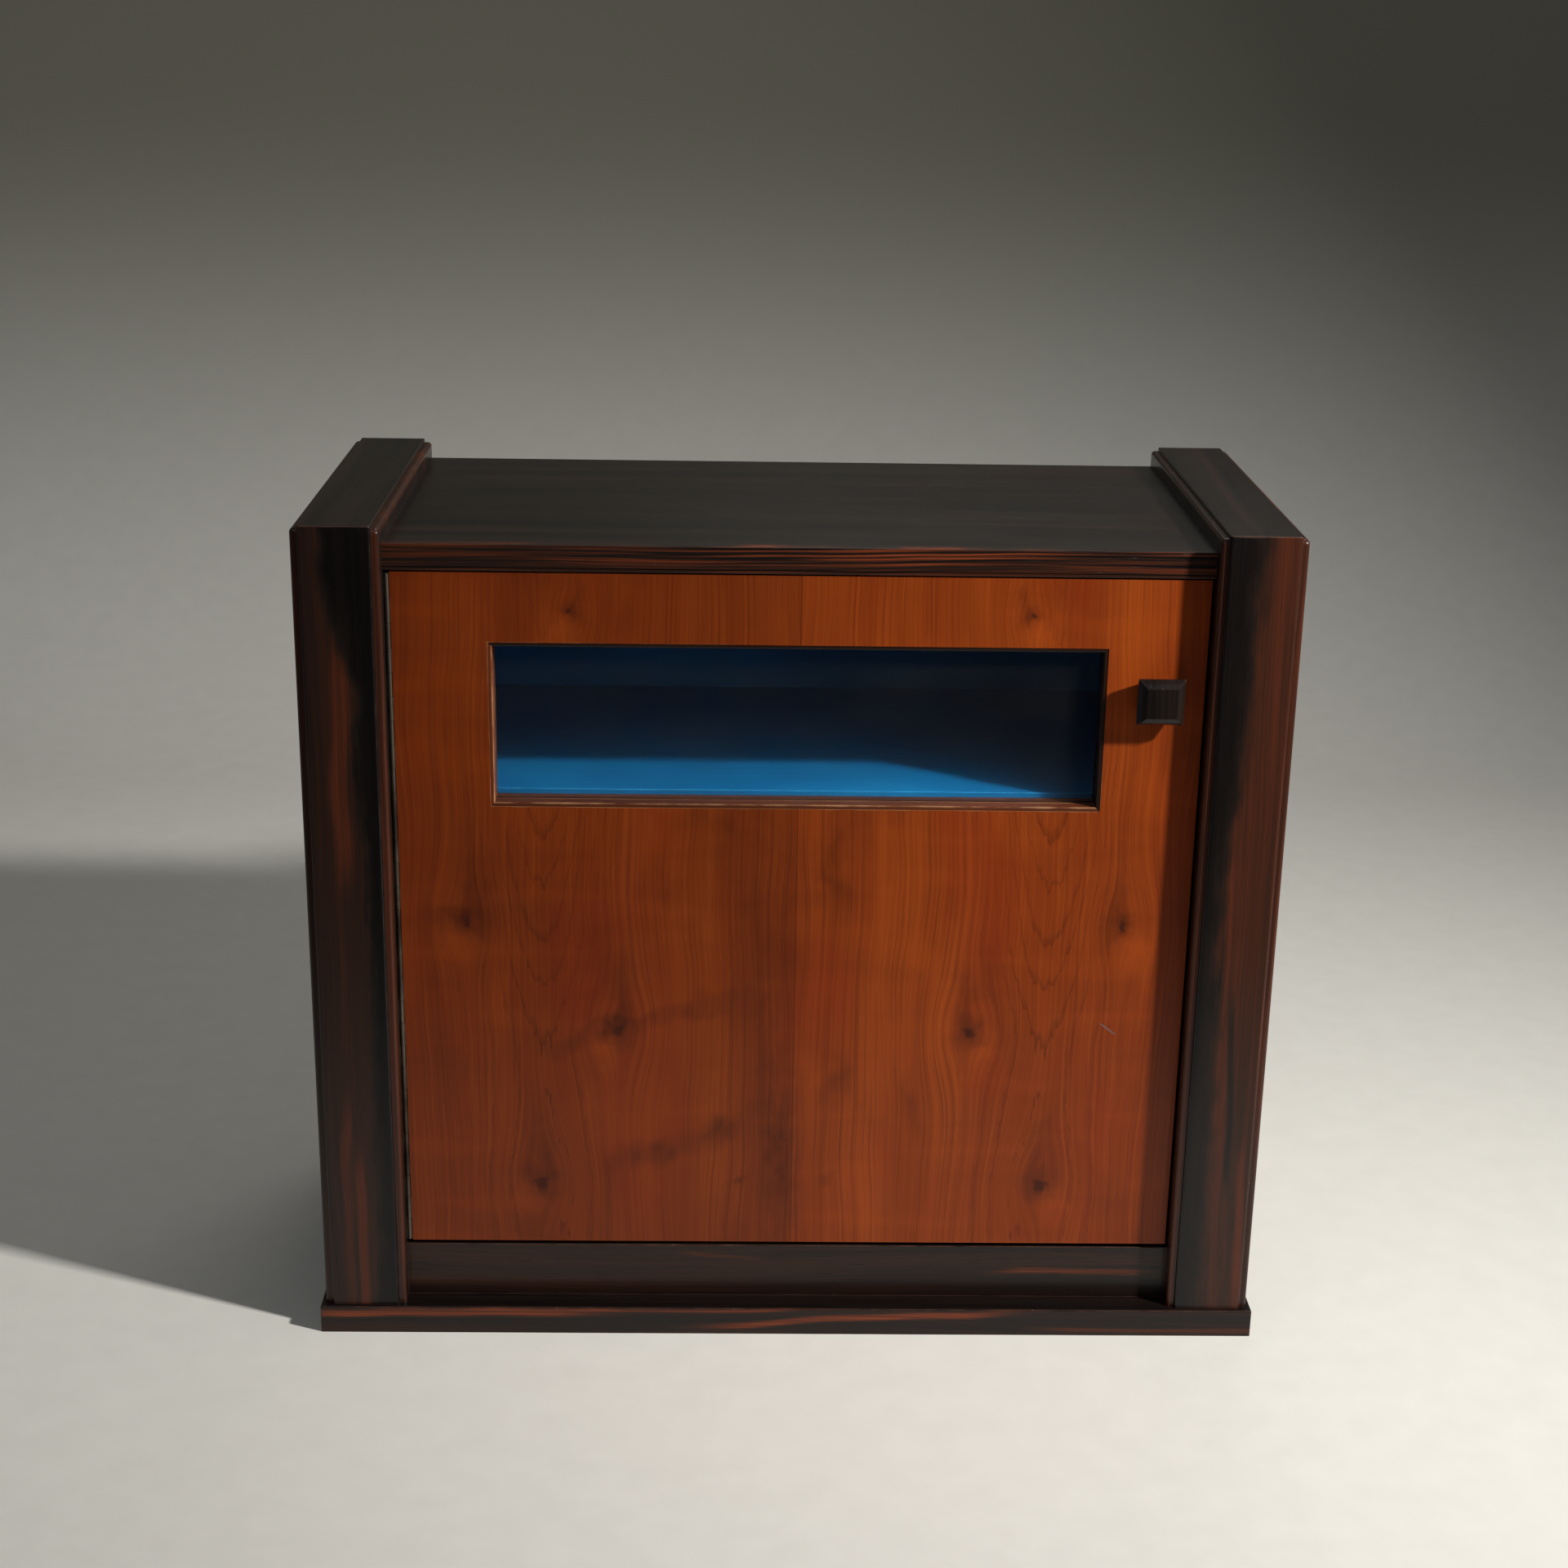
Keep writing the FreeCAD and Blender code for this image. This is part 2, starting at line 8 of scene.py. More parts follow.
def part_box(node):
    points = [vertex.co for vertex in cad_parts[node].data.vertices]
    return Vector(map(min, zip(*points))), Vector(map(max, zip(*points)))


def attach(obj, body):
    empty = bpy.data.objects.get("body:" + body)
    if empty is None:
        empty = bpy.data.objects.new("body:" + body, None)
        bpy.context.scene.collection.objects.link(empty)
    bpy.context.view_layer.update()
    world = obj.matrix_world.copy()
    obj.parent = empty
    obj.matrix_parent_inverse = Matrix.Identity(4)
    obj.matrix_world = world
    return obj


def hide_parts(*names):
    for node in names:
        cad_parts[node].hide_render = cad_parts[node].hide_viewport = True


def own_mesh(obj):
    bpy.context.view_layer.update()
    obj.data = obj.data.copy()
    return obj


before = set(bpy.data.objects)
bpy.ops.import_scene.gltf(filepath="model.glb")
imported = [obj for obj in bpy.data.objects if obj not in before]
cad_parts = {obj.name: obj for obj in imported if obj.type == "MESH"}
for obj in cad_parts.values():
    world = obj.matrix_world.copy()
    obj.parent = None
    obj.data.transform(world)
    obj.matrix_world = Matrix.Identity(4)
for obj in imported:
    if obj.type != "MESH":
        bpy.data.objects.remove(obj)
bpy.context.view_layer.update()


# Plinth: one long ebony-veneered board that carries the whole cabinet, screwed to it from below.
# The veneer's stripes run along its length, with a few red streaks that slant across its front,
# and its upper arrises are rubbed down to the brown of the wood.
def add(tree, kind, inputs=None, **settings):
    """Adds a shader node. An input is a plain value or the socket that feeds it."""
    made = tree.nodes.new("ShaderNode" + kind)
    for name, value in settings.items():
        setattr(made, name, value)
    for name, value in (inputs or {}).items():
        if isinstance(value, bpy.types.NodeSocket):
            tree.links.new(value, made.inputs[name])
        else:
            made.inputs[name].default_value = value
    return made


def calc(tree, operation, *values):
    """Arithmetic on values."""
    return add(tree, "Math", dict(enumerate(values)), operation=operation).outputs[0]


def vector(tree, operation, *values):
    """Arithmetic on places and directions."""
    return add(tree, "VectorMath", dict(enumerate(values)), operation=operation).outputs["Vector"]


def total(tree, *values):
    """Sum of any number of values."""
    result = values[0]
    for value in values[1:]:
        result = calc(tree, "ADD", result, value)
    return result


def scaled(tree, value, low, high):
    """Spreads 0 to 1 over low to high."""
    return add(tree, "MapRange", {"Value": value, "To Min": low, "To Max": high}).outputs[0]


def fade(tree, value, start, end):
    """Goes smoothly from 0 at start to 1 at end."""
    limits = {"Value": value, "From Min": start, "From Max": end}
    return add(tree, "MapRange", limits, interpolation_type="SMOOTHSTEP").outputs[0]


def tint(tree, share, first, second):
    """Mixes two colours by a share."""
    return add(tree, "Mix", {0: share, 6: first, 7: second}, data_type="RGBA").outputs[2]


def noise(tree, place, per_metre, detail=2.0):
    """Noise from 0 to 1, with its own fineness along each axis."""
    fine = vector(tree, "MULTIPLY", place, per_metre)
    return add(tree, "TexNoise", {"Vector": fine, "Scale": 1.0, "Detail": detail}).outputs[0]


def paint(red, green, blue):
    """Colour as it looks on a screen, from 0 to 255, turned into the shader's own scale."""
    def straight(level):
        share = level / 255
        return share / 12.92 if share <= 0.04045 else ((share + 0.055) / 1.055) ** 2.4
    return (straight(red), straight(green), straight(blue), 1.0)


def ramp(tree, value, *stops):
    """Colours along a scale, each stop a place and a colour."""
    made = add(tree, "ValToRGB", {"Fac": value})
    points = made.color_ramp.elements
    while len(points) < len(stops):
        points.new(1.0)
    for point, (place, colour) in zip(points, stops):
        point.position = place
        point.color = colour
    return made.outputs["Color"]


def new_group(name, inputs, outputs):
    """Empty shader group, with the nodes that stand for its inputs and outputs."""
    tree = bpy.data.node_groups.new(name, "ShaderNodeTree")
    for direction, sockets in (("INPUT", inputs), ("OUTPUT", outputs)):
        for socket, kind in sockets.items():
            tree.interface.new_socket(name=socket, in_out=direction, socket_type="NodeSocket" + kind)
    given = tree.nodes.new("NodeGroupInput").outputs
    results = tree.nodes.new("NodeGroupOutput").inputs
    return tree, given, results


def put_out(tree, results, **sockets):
    """Links what a group works out to its outputs."""
    for name, socket in sockets.items():
        tree.links.new(socket, results[name])


def new_material(name, **constants):
    """Material with one plain shader, its fixed values set on the shader's own sockets."""
    material = bpy.data.materials.new(name)
    material.use_nodes = True
    tree = material.node_tree
    shader = tree.nodes["Principled BSDF"]
    for socket, value in constants.items():
        shader.inputs[socket.replace("_", " ")].default_value = value
    place = add(tree, "TexCoord").outputs["Object"]
    return material, tree, shader, place


def finish_surface(tree, shader, colour, roughness, height, depth):
    """Feeds the colour, the roughness and the surface relief, whose depth is in metres."""
    tree.links.new(colour, shader.inputs["Base Color"])
    tree.links.new(roughness, shader.inputs["Roughness"])
    bump = add(tree, "Bump", {"Height": height, "Distance": depth, "Strength": 1.0})
    tree.links.new(bump.outputs["Normal"], shader.inputs["Normal"])


def dress(material, *names):
    """Gives pieces of the frame their finish."""
    for name in names:
        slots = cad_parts[name].data.materials
        slots.clear()
        slots.append(material)


# Rubbed arrises of a squared piece: strong where two faces of its box meet, broken up by noise
rubbed_edges, given, results = new_group(
    "rubbed_edges", {"Place": "Vector", "Centre": "Vector", "Half": "Vector", "Width": "Float"},
    {"Rub": "Float"})
offset = vector(rubbed_edges, "SUBTRACT", given["Place"], given["Centre"])
offset = vector(rubbed_edges, "ABSOLUTE", offset)
inset = vector(rubbed_edges, "SUBTRACT", given["Half"], offset)
inset = add(rubbed_edges, "SeparateXYZ", {0: inset}).outputs
lesser = calc(rubbed_edges, "MINIMUM", inset[0], inset[1])
greater = calc(rubbed_edges, "MAXIMUM", inset[0], inset[1])
second = calc(rubbed_edges, "MAXIMUM", lesser, calc(rubbed_edges, "MINIMUM", greater, inset[2]))
patchy = scaled(rubbed_edges, noise(rubbed_edges, given["Place"], (60, 60, 60), 4.0), -0.6, 2.2)
least_rub = 0.05
patchy = calc(rubbed_edges, "MAXIMUM", patchy, least_rub)
reach = calc(rubbed_edges, "MULTIPLY", given["Width"], patchy)
put_out(rubbed_edges, results, Rub=fade(rubbed_edges, second, reach, 0.0))

# Handling marks: faint cloudy patches that change how a surface shines, and small specks
handling, given, results = new_group("handling", {"Place": "Vector"}, {"Cloud": "Float", "Speck": "Float"})
put_out(handling, results,
        Cloud=noise(handling, given["Place"], (14, 14, 14), 5.0),
        Speck=fade(handling, noise(handling, given["Place"], (420, 420, 420), 1.0), 0.74, 0.80))

# Ebony figure: near-black heartwood with wavy red-brown stripes, fine lines and open pores.
# Its place is in a frame whose Z runs along the grain.
ebony_figure, given, results = new_group(
    "ebony_figure", {"Place": "Vector"}, {"Stripe": "Float", "Line": "Float", "Pore": "Float"})
sway = scaled(ebony_figure, noise(ebony_figure, given["Place"], (9, 9, 2.2)), -0.016, 0.016)
swayed = vector(ebony_figure, "ADD", given["Place"], add(ebony_figure, "CombineXYZ", {0: sway}).outputs[0])
broad = noise(ebony_figure, swayed, (42, 30, 1.3))
middle = noise(ebony_figure, swayed, (170, 90, 2.6))
line = noise(ebony_figure, swayed, (760, 420, 7.0), 3.0)
mixed = total(ebony_figure, calc(ebony_figure, "MULTIPLY", broad, 0.56),
              calc(ebony_figure, "MULTIPLY", middle, 0.34), calc(ebony_figure, "MULTIPLY", line, 0.10))
contrast = {"Value": mixed, "From Min": 0.36, "From Max": 0.66}
put_out(ebony_figure, results,
        Stripe=add(ebony_figure, "MapRange", contrast).outputs[0],
        Line=line,
        Pore=fade(ebony_figure, noise(ebony_figure, given["Place"], (1500, 1500, 46), 1.0), 0.66, 0.76))

grain_along = {"x": (0.0, math.radians(-90), 0.0), "y": (math.radians(90), 0.0, 0.0), "z": (0.0, 0.0, 0.0)}


def along_grain(tree, place, axis, shift):
    """Place turned so that Z runs along the grain, and shifted to another part of the log."""
    turn = {"Vector": place, "Location": shift, "Rotation": grain_along[axis]}
    return add(tree, "Mapping", turn, vector_type="POINT").outputs[0]


def ebony_colour(tree, stripe):
    """Colours of the stripes, from near-black to orange-brown."""
    return ramp(tree, stripe, (0.0, paint(9, 7, 7)), (0.30, paint(28, 20, 17)), (0.50, paint(50, 27, 18)),
                (0.72, paint(82, 37, 20)), (0.90, paint(114, 51, 26)), (1.0, paint(140, 66, 34)))


def box_of(name):
    """Centre and half size of a piece's box."""
    low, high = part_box(name)
    return (low + high) / 2, (high - low) / 2


def ebony(name, axis, shift, piece, strength=1.0, figure=None, rub_width=0.0012, rub_strength=0.3):
    """Polished ebony veneer on one piece. A figure may raise or lower the stripes by its own mask."""
    pore_black = paint(9, 8, 8)
    rubbed_brown_and_highlight = paint(112, 76, 62)
    chip_grey = paint(160, 150, 138)
    relief_depth = 0.00006
    material, tree, shader, place = new_material(
        name, Specular_IOR_Level=0.25, Coat_Weight=0.10, Coat_Roughness=0.12)
    grain_place = along_grain(tree, place, axis, shift)
    grain = add(tree, "Group", {"Place": grain_place}, node_tree=ebony_figure).outputs
    stripe = calc(tree, "MULTIPLY", grain["Stripe"], strength)
    if figure:
        stripe = figure(tree, place, stripe)
    stripe = calc(tree, "ADD", stripe, scaled(tree, grain["Line"], -0.12, 0.12))
    colour = ebony_colour(tree, stripe)
    colour = tint(tree, calc(tree, "MULTIPLY", grain["Pore"], 0.6), colour, pore_black)
    centre, half = box_of(piece)
    rub = add(tree, "Group", {"Place": place, "Centre": centre, "Half": half, "Width": rub_width},
              node_tree=rubbed_edges).outputs["Rub"]
    # Rubbed arrises: wear to the brown of the wood, coloured greyer as a painted highlight along them.
    colour = tint(tree, calc(tree, "MULTIPLY", rub, rub_strength), colour, rubbed_brown_and_highlight)
    marks = add(tree, "Group", {"Place": place}, node_tree=handling).outputs
    chip = calc(tree, "MULTIPLY", rub, marks["Speck"])
    colour = tint(tree, calc(tree, "MULTIPLY", chip, 0.6), colour, chip_grey)
    roughness = total(tree, scaled(tree, marks["Cloud"], 0.26, 0.36),
                      calc(tree, "MULTIPLY", grain["Pore"], 0.12))
    height = calc(tree, "SUBTRACT", grain["Line"], grain["Pore"])
    finish_surface(tree, shader, colour, roughness, height, relief_depth)
    return material


def streak(tree, along, across, start, end, width):
    """One long streak between two points, swaying a little and fading at its sides and ends."""
    end_share = 0.25
    solid_share = 0.25
    share = add(tree, "MapRange", {"Value": along, "From Min": start[0], "From Max": end[0]}).outputs[0]
    middle = scaled(tree, share, start[1], end[1])
    wave = {"W": along, "Scale": 7.0, "Detail": 1.0}
    sway = add(tree, "TexNoise", wave, noise_dimensions="1D").outputs[0]
    middle = calc(tree, "ADD", middle, scaled(tree, sway, -width, width))
    off = calc(tree, "ABSOLUTE", calc(tree, "SUBTRACT", across, middle))
    taper = calc(tree, "MULTIPLY", fade(tree, share, 0.0, end_share),
                 fade(tree, share, 1.0, 1.0 - end_share))
    return calc(tree, "MULTIPLY", taper, fade(tree, off, width, width * solid_share))


def along_board(piece, *streaks):
    """Figure of a board whose front face gets painted light, lighter than its top, and has red streaks
    along it, each with its strength.
    """
    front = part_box(piece)[0].y
    painted_front_light = 0.22
    own_stripes = 0.3

    def figure(tree, place, stripe):
        axes = add(tree, "SeparateXYZ", {0: place}).outputs
        on_front = fade(tree, axes["Y"], front + 0.003, front + 0.001)
        faint = calc(tree, "MULTIPLY", stripe, own_stripes)
        # Painted light: the front face is made lighter than the top.
        stripe = calc(tree, "MULTIPLY_ADD", on_front, painted_front_light, faint)
        fine = scaled(tree, noise(tree, place, (5, 5, 1100), 3.0), 0.1, 1.7)
        fine = calc(tree, "MULTIPLY", on_front, fine)
        for start, end, width, strength in streaks:
            mask = streak(tree, axes["X"], axes["Z"], start, end, width)
            stripe = calc(tree, "MULTIPLY_ADD", calc(tree, "MULTIPLY", mask, fine), strength, stripe)
        return stripe
    return figure


plinth_streaks = along_board(
    "plinth_board",
    ((-0.46, 0.0180), (-0.12, 0.0205), 0.0060, 0.60), ((-0.20, 0.0215), (0.03, 0.0235), 0.0024, 0.45),
    ((-0.11, 0.0070), (0.23, 0.0225), 0.0050, 0.60), ((0.18, 0.0040), (0.46, 0.0055), 0.0036, 0.4))
dress(ebony("plinth_ebony", "x", (0.3, 0.1, 0.2), "plinth_board", figure=plinth_streaks), "plinth_board")


# Side posts: a mitred frame of four members makes each thick core, with a thin round-edged cheek glued
# to each side, all in ebony with the grain upright. The fronts are black on the side of the door and
# red-brown on the other, with a wavy border between the two.
post_low, post_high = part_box("left_post_front_stile")
post_bottom = post_low.z
post_top = post_high.z
core_width = post_high.x - post_low.x


def curve_of(tree, value, points):
    """Curve from 0 to 1 through a few given points."""
    made = add(tree, "FloatCurve", {"Value": value})
    curve = made.mapping.curves[0]
    for point, place in zip(curve.points, (points[0], points[-1])):
        point.location = place
    for place in points[1:-1]:
        curve.points.new(*place)
    made.mapping.update()
    return made.outputs[0]


def black_side(piece, border, soft, redness, *streaks):
    """Figure with a black part beside a red-brown one. The border gives, for each share of the height,
    the share of the width at which the two meet. Soft is the border's width, less than zero where the
    black part is on the right. Streaks run upright, each lighter or darker."""
    left_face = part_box(piece)[0].x

    def figure(tree, place, stripe):
        axes = add(tree, "SeparateXYZ", {0: place}).outputs
        height = add(tree, "MapRange", {"Value": axes["Z"], "From Min": post_bottom,
                                        "From Max": post_top}).outputs[0]
        across = add(tree, "MapRange", {"Value": axes["X"], "From Min": left_face,
                                        "From Max": left_face + core_width}).outputs[0]
        ragged = scaled(tree, noise(tree, place, (90, 90, 30), 3.0), -0.15, 0.15)
        beyond = total(tree, across, ragged, calc(tree, "MULTIPLY", curve_of(tree, height, border), -1.0))
        red = fade(tree, beyond, -soft, soft)
        stripe = calc(tree, "MULTIPLY", stripe, scaled(tree, red, 0.10, 0.24))
        stripe = calc(tree, "MULTIPLY_ADD", red, redness, stripe)
        for start, end, width, strength in streaks:
            mask = streak(tree, axes["Z"], axes["X"], start, end, width)
            stripe = calc(tree, "MULTIPLY_ADD", mask, strength, stripe)
        return stripe
    return figure


left_border = ((0.0, 0.64), (0.10, 0.78), (0.30, 0.77), (0.55, 0.79), (0.68, 0.73), (0.74, 0.67),
               (0.79, 0.75), (0.83, 0.62), (0.89, 0.42), (0.93, 0.34), (1.0, 0.33))
right_border = ((0.0, 0.32), (0.15, 0.30), (0.31, 0.28), (0.42, 0.25), (0.50, 0.21), (0.58, 0.22),
                (0.66, 0.32), (0.74, 0.40), (0.85, 0.42), (0.93, 0.44), (1.0, 0.48))


def red_nose(piece):
    """Figure of a cheek: dark on its faces, solid red-brown wood along its rounded front and top."""
    low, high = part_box(piece)
    nose_end = 0.007
    nose_full = 0.003
    nose_red = 0.40

    def figure(tree, place, stripe):
        axes = add(tree, "SeparateXYZ", {0: place}).outputs
        from_front = calc(tree, "SUBTRACT", axes["Y"], low.y)
        from_top = calc(tree, "SUBTRACT", high.z, axes["Z"])
        from_edge = calc(tree, "MINIMUM", from_front, from_top)
        nose = fade(tree, from_edge, nose_end, nose_full)
        faces = calc(tree, "MULTIPLY", stripe, scaled(tree, nose, 0.6, 0.3))
        return calc(tree, "MULTIPLY_ADD", nose, nose_red, faces)
    return figure


post_figures = {
    "left": black_side("left_post_front_stile", left_border, -0.10, 0.30,
                       ((0.38, -0.363), (0.66, -0.361), 0.011, 0.24),
                       ((-0.03, -0.375), (0.24, -0.373), 0.007, 0.22),
                       ((-0.03, -0.364), (0.19, -0.361), 0.006, 0.24)),
    "right": black_side("right_post_front_stile", right_border, 0.20, 0.45,
                        ((0.12, 0.371), (0.34, 0.361), 0.004, -0.25),
                        ((0.01, 0.384), (0.20, 0.380), 0.006, 0.16)),
}
for side, shift in (("left", (0.0, 0.4, 0.1)), ("right", (0.7, 0.2, 0.6))):
    stile = f"{side}_post_front_stile"
    dress(ebony(f"{side}_post_front_ebony", "z", shift, stile, figure=post_figures[side]), stile)
    for member, axis in (("top_rail", "y"), ("back_stile", "z"), ("foot_rail", "y")):
        piece = f"{side}_post_{member}"
        dress(ebony(f"{piece}_ebony", axis, shift, piece, strength=0.45, rub_strength=0.14), piece)
    for face in ("outer", "inner"):
        piece = f"{side}_post_{face}_cheek"
        dress(ebony(f"{piece}_ebony", "z", (shift[0] + 0.3, shift[1], shift[2]), piece, strength=0.9,
                    figure=red_nose(piece), rub_strength=0.15), piece)


# Top: a board let in between the posts and dowelled to them, veneered in ebony along its length.
# Its solid front edging shows close black and orange lines above a small bead.
dress(ebony("top_board_ebony", "x", (0.5, 0.3, 0.9), "top_board", strength=0.42, rub_strength=0.1),
      "top_board")
edging_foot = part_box("top_front_edging")[0].z


def close_lines(tree, place, stripe):
    """Figure of the edging: thin orange lines that rise a little to the right, dull at the left end."""
    line_rise = 0.010
    edging_brown = 0.35
    axes = add(tree, "SeparateXYZ", {0: place}).outputs
    sway = scaled(tree, noise(tree, place, (4, 1, 20)), -0.004, 0.004)
    tilted = total(tree, axes["Z"], sway, calc(tree, "MULTIPLY", axes["X"], -line_rise))
    sheet = add(tree, "CombineXYZ", {0: axes["X"], 2: tilted}).outputs[0]
    lines = scaled(tree, fade(tree, noise(tree, sheet, (5, 1, 560), 4.0), 0.36, 0.66), -0.36, 0.52)
    upper = fade(tree, axes["Z"], edging_foot + 0.003, edging_foot + 0.011)
    right_hand = fade(tree, axes["X"], -0.30, 0.05)
    strength = calc(tree, "MULTIPLY", scaled(tree, upper, 0.4, 1.0), scaled(tree, right_hand, 0.5, 0.95))
    faint = calc(tree, "MULTIPLY", stripe, 0.2)
    return total(tree, faint, calc(tree, "MULTIPLY", lines, strength), edging_brown)


dress(ebony("top_edging_ebony", "x", (0.15, 0.8, 0.4), "top_front_edging", figure=close_lines,
            rub_width=0.0009, rub_strength=0.12), "top_front_edging")


# Bottom rail: a rail under the door, dowelled to the posts and screwed to the plinth. Its ebony veneer
# is nearly black, with a red streak near its right end and a well-rubbed upper arris.
rail_streaks = along_board("bottom_rail", ((0.16, 0.0480), (0.34, 0.0490), 0.0044, 0.42),
                           ((-0.10, 0.0665), (-0.01, 0.0600), 0.0034, 0.2))
dress(ebony("bottom_rail_ebony", "x", (0.9, 0.5, 0.15), "bottom_rail", figure=rail_streaks,
            rub_width=0.0009, rub_strength=0.45), "bottom_rail")


# Inside of the case: floor, ceiling, linings, back, cleats and shelf, brush-painted in bright blue
# on plain wood, with the grain just showing through and thin paint on the arrises. The back is a
# plywood panel, screwed on, which is only stained brown on the side of the wall.
def painted(name, axis, piece, bare_behind=False):
    """Blue paint. A panel that is bare behind shows its brown-stained wood on its outer face."""
    brushed_blue = paint(8, 76, 126)
    thin_blue = paint(52, 138, 190)
    brown_fibre = paint(46, 27, 18)
    relief_depth = 0.00012
    material, tree, shader, place = new_material(name, Specular_IOR_Level=0.25)
    grain_place = along_grain(tree, place, axis, (0.0, 0.0, 0.0))
    brushed = noise(tree, grain_place, (260, 260, 5), 3.0)
    cloudy = noise(tree, place, (7, 7, 7), 4.0)
    colour = ramp(tree, cloudy, (0.25, paint(8, 84, 136)), (0.55, paint(12, 102, 158)),
                  (0.85, paint(22, 118, 172)))
    colour = tint(tree, scaled(tree, brushed, 0.0, 0.35), colour, brushed_blue)
    centre, half = box_of(piece)
    rub = add(tree, "Group", {"Place": place, "Centre": centre, "Half": half, "Width": 0.0011},
              node_tree=rubbed_edges).outputs["Rub"]
    colour = tint(tree, calc(tree, "MULTIPLY", rub, 0.6), colour, thin_blue)
    if bare_behind:
        wall_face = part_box(piece)[1].y
        depth = add(tree, "SeparateXYZ", {0: place}).outputs["Y"]
        behind = fade(tree, depth, wall_face - 0.0006, wall_face - 0.0002)
        growth = noise(tree, grain_place, (70, 70, 2.4), 4.0)
        bare = ramp(tree, growth, (0.3, paint(52, 30, 20)), (0.5, paint(74, 44, 28)),
                    (0.7, paint(92, 58, 36)))
        bare = tint(tree, scaled(tree, brushed, 0.0, 0.5), bare, brown_fibre)
        colour = tint(tree, behind, colour, bare)
    roughness = total(tree, scaled(tree, cloudy, 0.34, 0.5), scaled(tree, brushed, -0.05, 0.05))
    finish_surface(tree, shader, colour, roughness, brushed, relief_depth)
    return material


for piece, axis in (("floor_board", "x"), ("ceiling_panel", "x"), ("back_panel", "x"), ("left_lining", "z"),
                    ("right_lining", "z"), ("left_shelf_cleat", "y"), ("right_shelf_cleat", "y"),
                    ("shelf", "x")):
    dress(painted(f"{piece}_paint", axis, piece, bare_behind=piece == "back_panel"), piece)

# The shelf's arrises are eased, as sandpaper does it, and the front one catches the light
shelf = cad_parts["shelf"]
shelf.modifiers.new("joined_corners", "WELD").merge_threshold = 0.00001
eased = shelf.modifiers.new("eased_arrises", "BEVEL")
eased.width = 0.0005
eased.segments = 2
eased.limit_method = "ANGLE"
eased.harden_normals = True


# Bearers and dowels: plain beech. The bearers are sawn battens, screwed to the posts under the floor.
# The dowels are turned pegs, glued into the boards of the case and of the door.
def beech(name, axis):
    """Bare pale wood with small dark flecks."""
    material, tree, shader, place = new_material(name, Specular_IOR_Level=0.3)
    grain_place = along_grain(tree, place, axis, (0.0, 0.0, 0.0))
    growth = noise(tree, grain_place, (240, 240, 6), 3.0)
    fleck = fade(tree, noise(tree, grain_place, (900, 900, 120), 1.0), 0.62, 0.72)
    colour = ramp(tree, growth, (0.3, paint(176, 130, 88)), (0.7, paint(208, 168, 122)))
    colour = tint(tree, calc(tree, "MULTIPLY", fleck, 0.5), colour, paint(146, 100, 62))
    marks = add(tree, "Group", {"Place": place}, node_tree=handling).outputs
    finish_surface(tree, shader, colour, scaled(tree, marks["Cloud"], 0.5, 0.75), growth, 0.0002)
    return material


dress(beech("bearer_beech", "y"), "floor_bearers")
dress(beech("dowel_beech", "x"), "carcass_dowels", "door_dowels")


# Screws, pins, hinge and catch: drawn and rolled steel, dulled by handling, with fine scratches along
# the metal, and a catch barrel of brass. The hinge is tarnished darker than the other steel.
def metal(name, bright, dull, roughness_low, roughness_high):
    """Metal that goes from bright to dull in patches, with dark specks."""
    speck_brown = paint(70, 60, 50)
    material, tree, shader, place = new_material(name, Metallic=1.0)
    marks = add(tree, "Group", {"Place": place}, node_tree=handling).outputs
    scratch = noise(tree, place, (2400, 2400, 60), 2.0)
    colour = tint(tree, fade(tree, marks["Cloud"], 0.35, 0.7), bright, dull)
    colour = tint(tree, calc(tree, "MULTIPLY", marks["Speck"], 0.7), colour, speck_brown)
    roughness = total(tree, scaled(tree, marks["Cloud"], roughness_low, roughness_high),
                      scaled(tree, scratch, -0.08, 0.08))
    finish_surface(tree, shader, colour, roughness, scratch, 0.00002)
    return material


steel = metal("worn_steel", paint(146, 140, 132), paint(98, 92, 85), 0.28, 0.5)
brass = metal("drawn_brass", paint(214, 176, 104), paint(158, 120, 62), 0.2, 0.48)
tarnished = metal("tarnished_steel", paint(124, 115, 103), paint(58, 51, 45), 0.34, 0.56)
dress(steel, "plinth_screws", "batten_screws", "back_panel_screws", "hinge_case_screws",
      "hinge_door_screws", "strike_screws", "bead_pins", "knob_screw", "strike_plate", "catch_ball")
dress(tarnished, "hinge_case_leaf", "hinge_door_leaf", "hinge_pin")
dress(brass, "catch_barrel")


# Catch spring: steel wire wound into an open coil inside the barrel. It stands on the barrel's floor,
# pushes the ball out, and is shortened when the ball is pressed in.
spring_low, spring_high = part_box("catch_spring")
spring_middle = (spring_low + spring_high) / 2
wire = 0.0008
wire_sides = 10
coil_radius = (spring_high.z - spring_low.z - wire) / 2
coil_turns = 6.5
coil_steps = 156
coil_step = (spring_high.x - spring_low.x - wire) / coil_steps
coil = bmesh.new()
bmesh.ops.create_circle(coil, segments=wire_sides, radius=wire / 2)
bmesh.ops.rotate(coil, verts=coil.verts, matrix=Matrix.Rotation(math.pi / 2, 3, "X"))
coil_start = Vector((spring_low.x + wire / 2, spring_middle.y, spring_middle.z + coil_radius))
bmesh.ops.translate(coil, verts=coil.verts, vec=coil_start)
bmesh.ops.spin(coil, geom=coil.verts[:] + coil.edges[:], cent=spring_middle, axis=(1.0, 0.0, 0.0),
               dvec=(coil_step, 0.0, 0.0), angle=2 * math.pi * coil_turns, steps=coil_steps)
bmesh.ops.holes_fill(coil, edges=[edge for edge in coil.edges if edge.is_boundary])
bmesh.ops.recalc_face_normals(coil, faces=coil.faces)
for face in coil.faces:
    face.smooth = len(face.verts) == 4
coil_mesh = bpy.data.meshes.new("catch_spring_coil")
coil.to_mesh(coil_mesh)
coil.free()
coil_mesh.materials.append(steel)
catch_coil = bpy.data.objects.new("catch_spring_coil", coil_mesh)
bpy.context.scene.collection.objects.link(catch_coil)
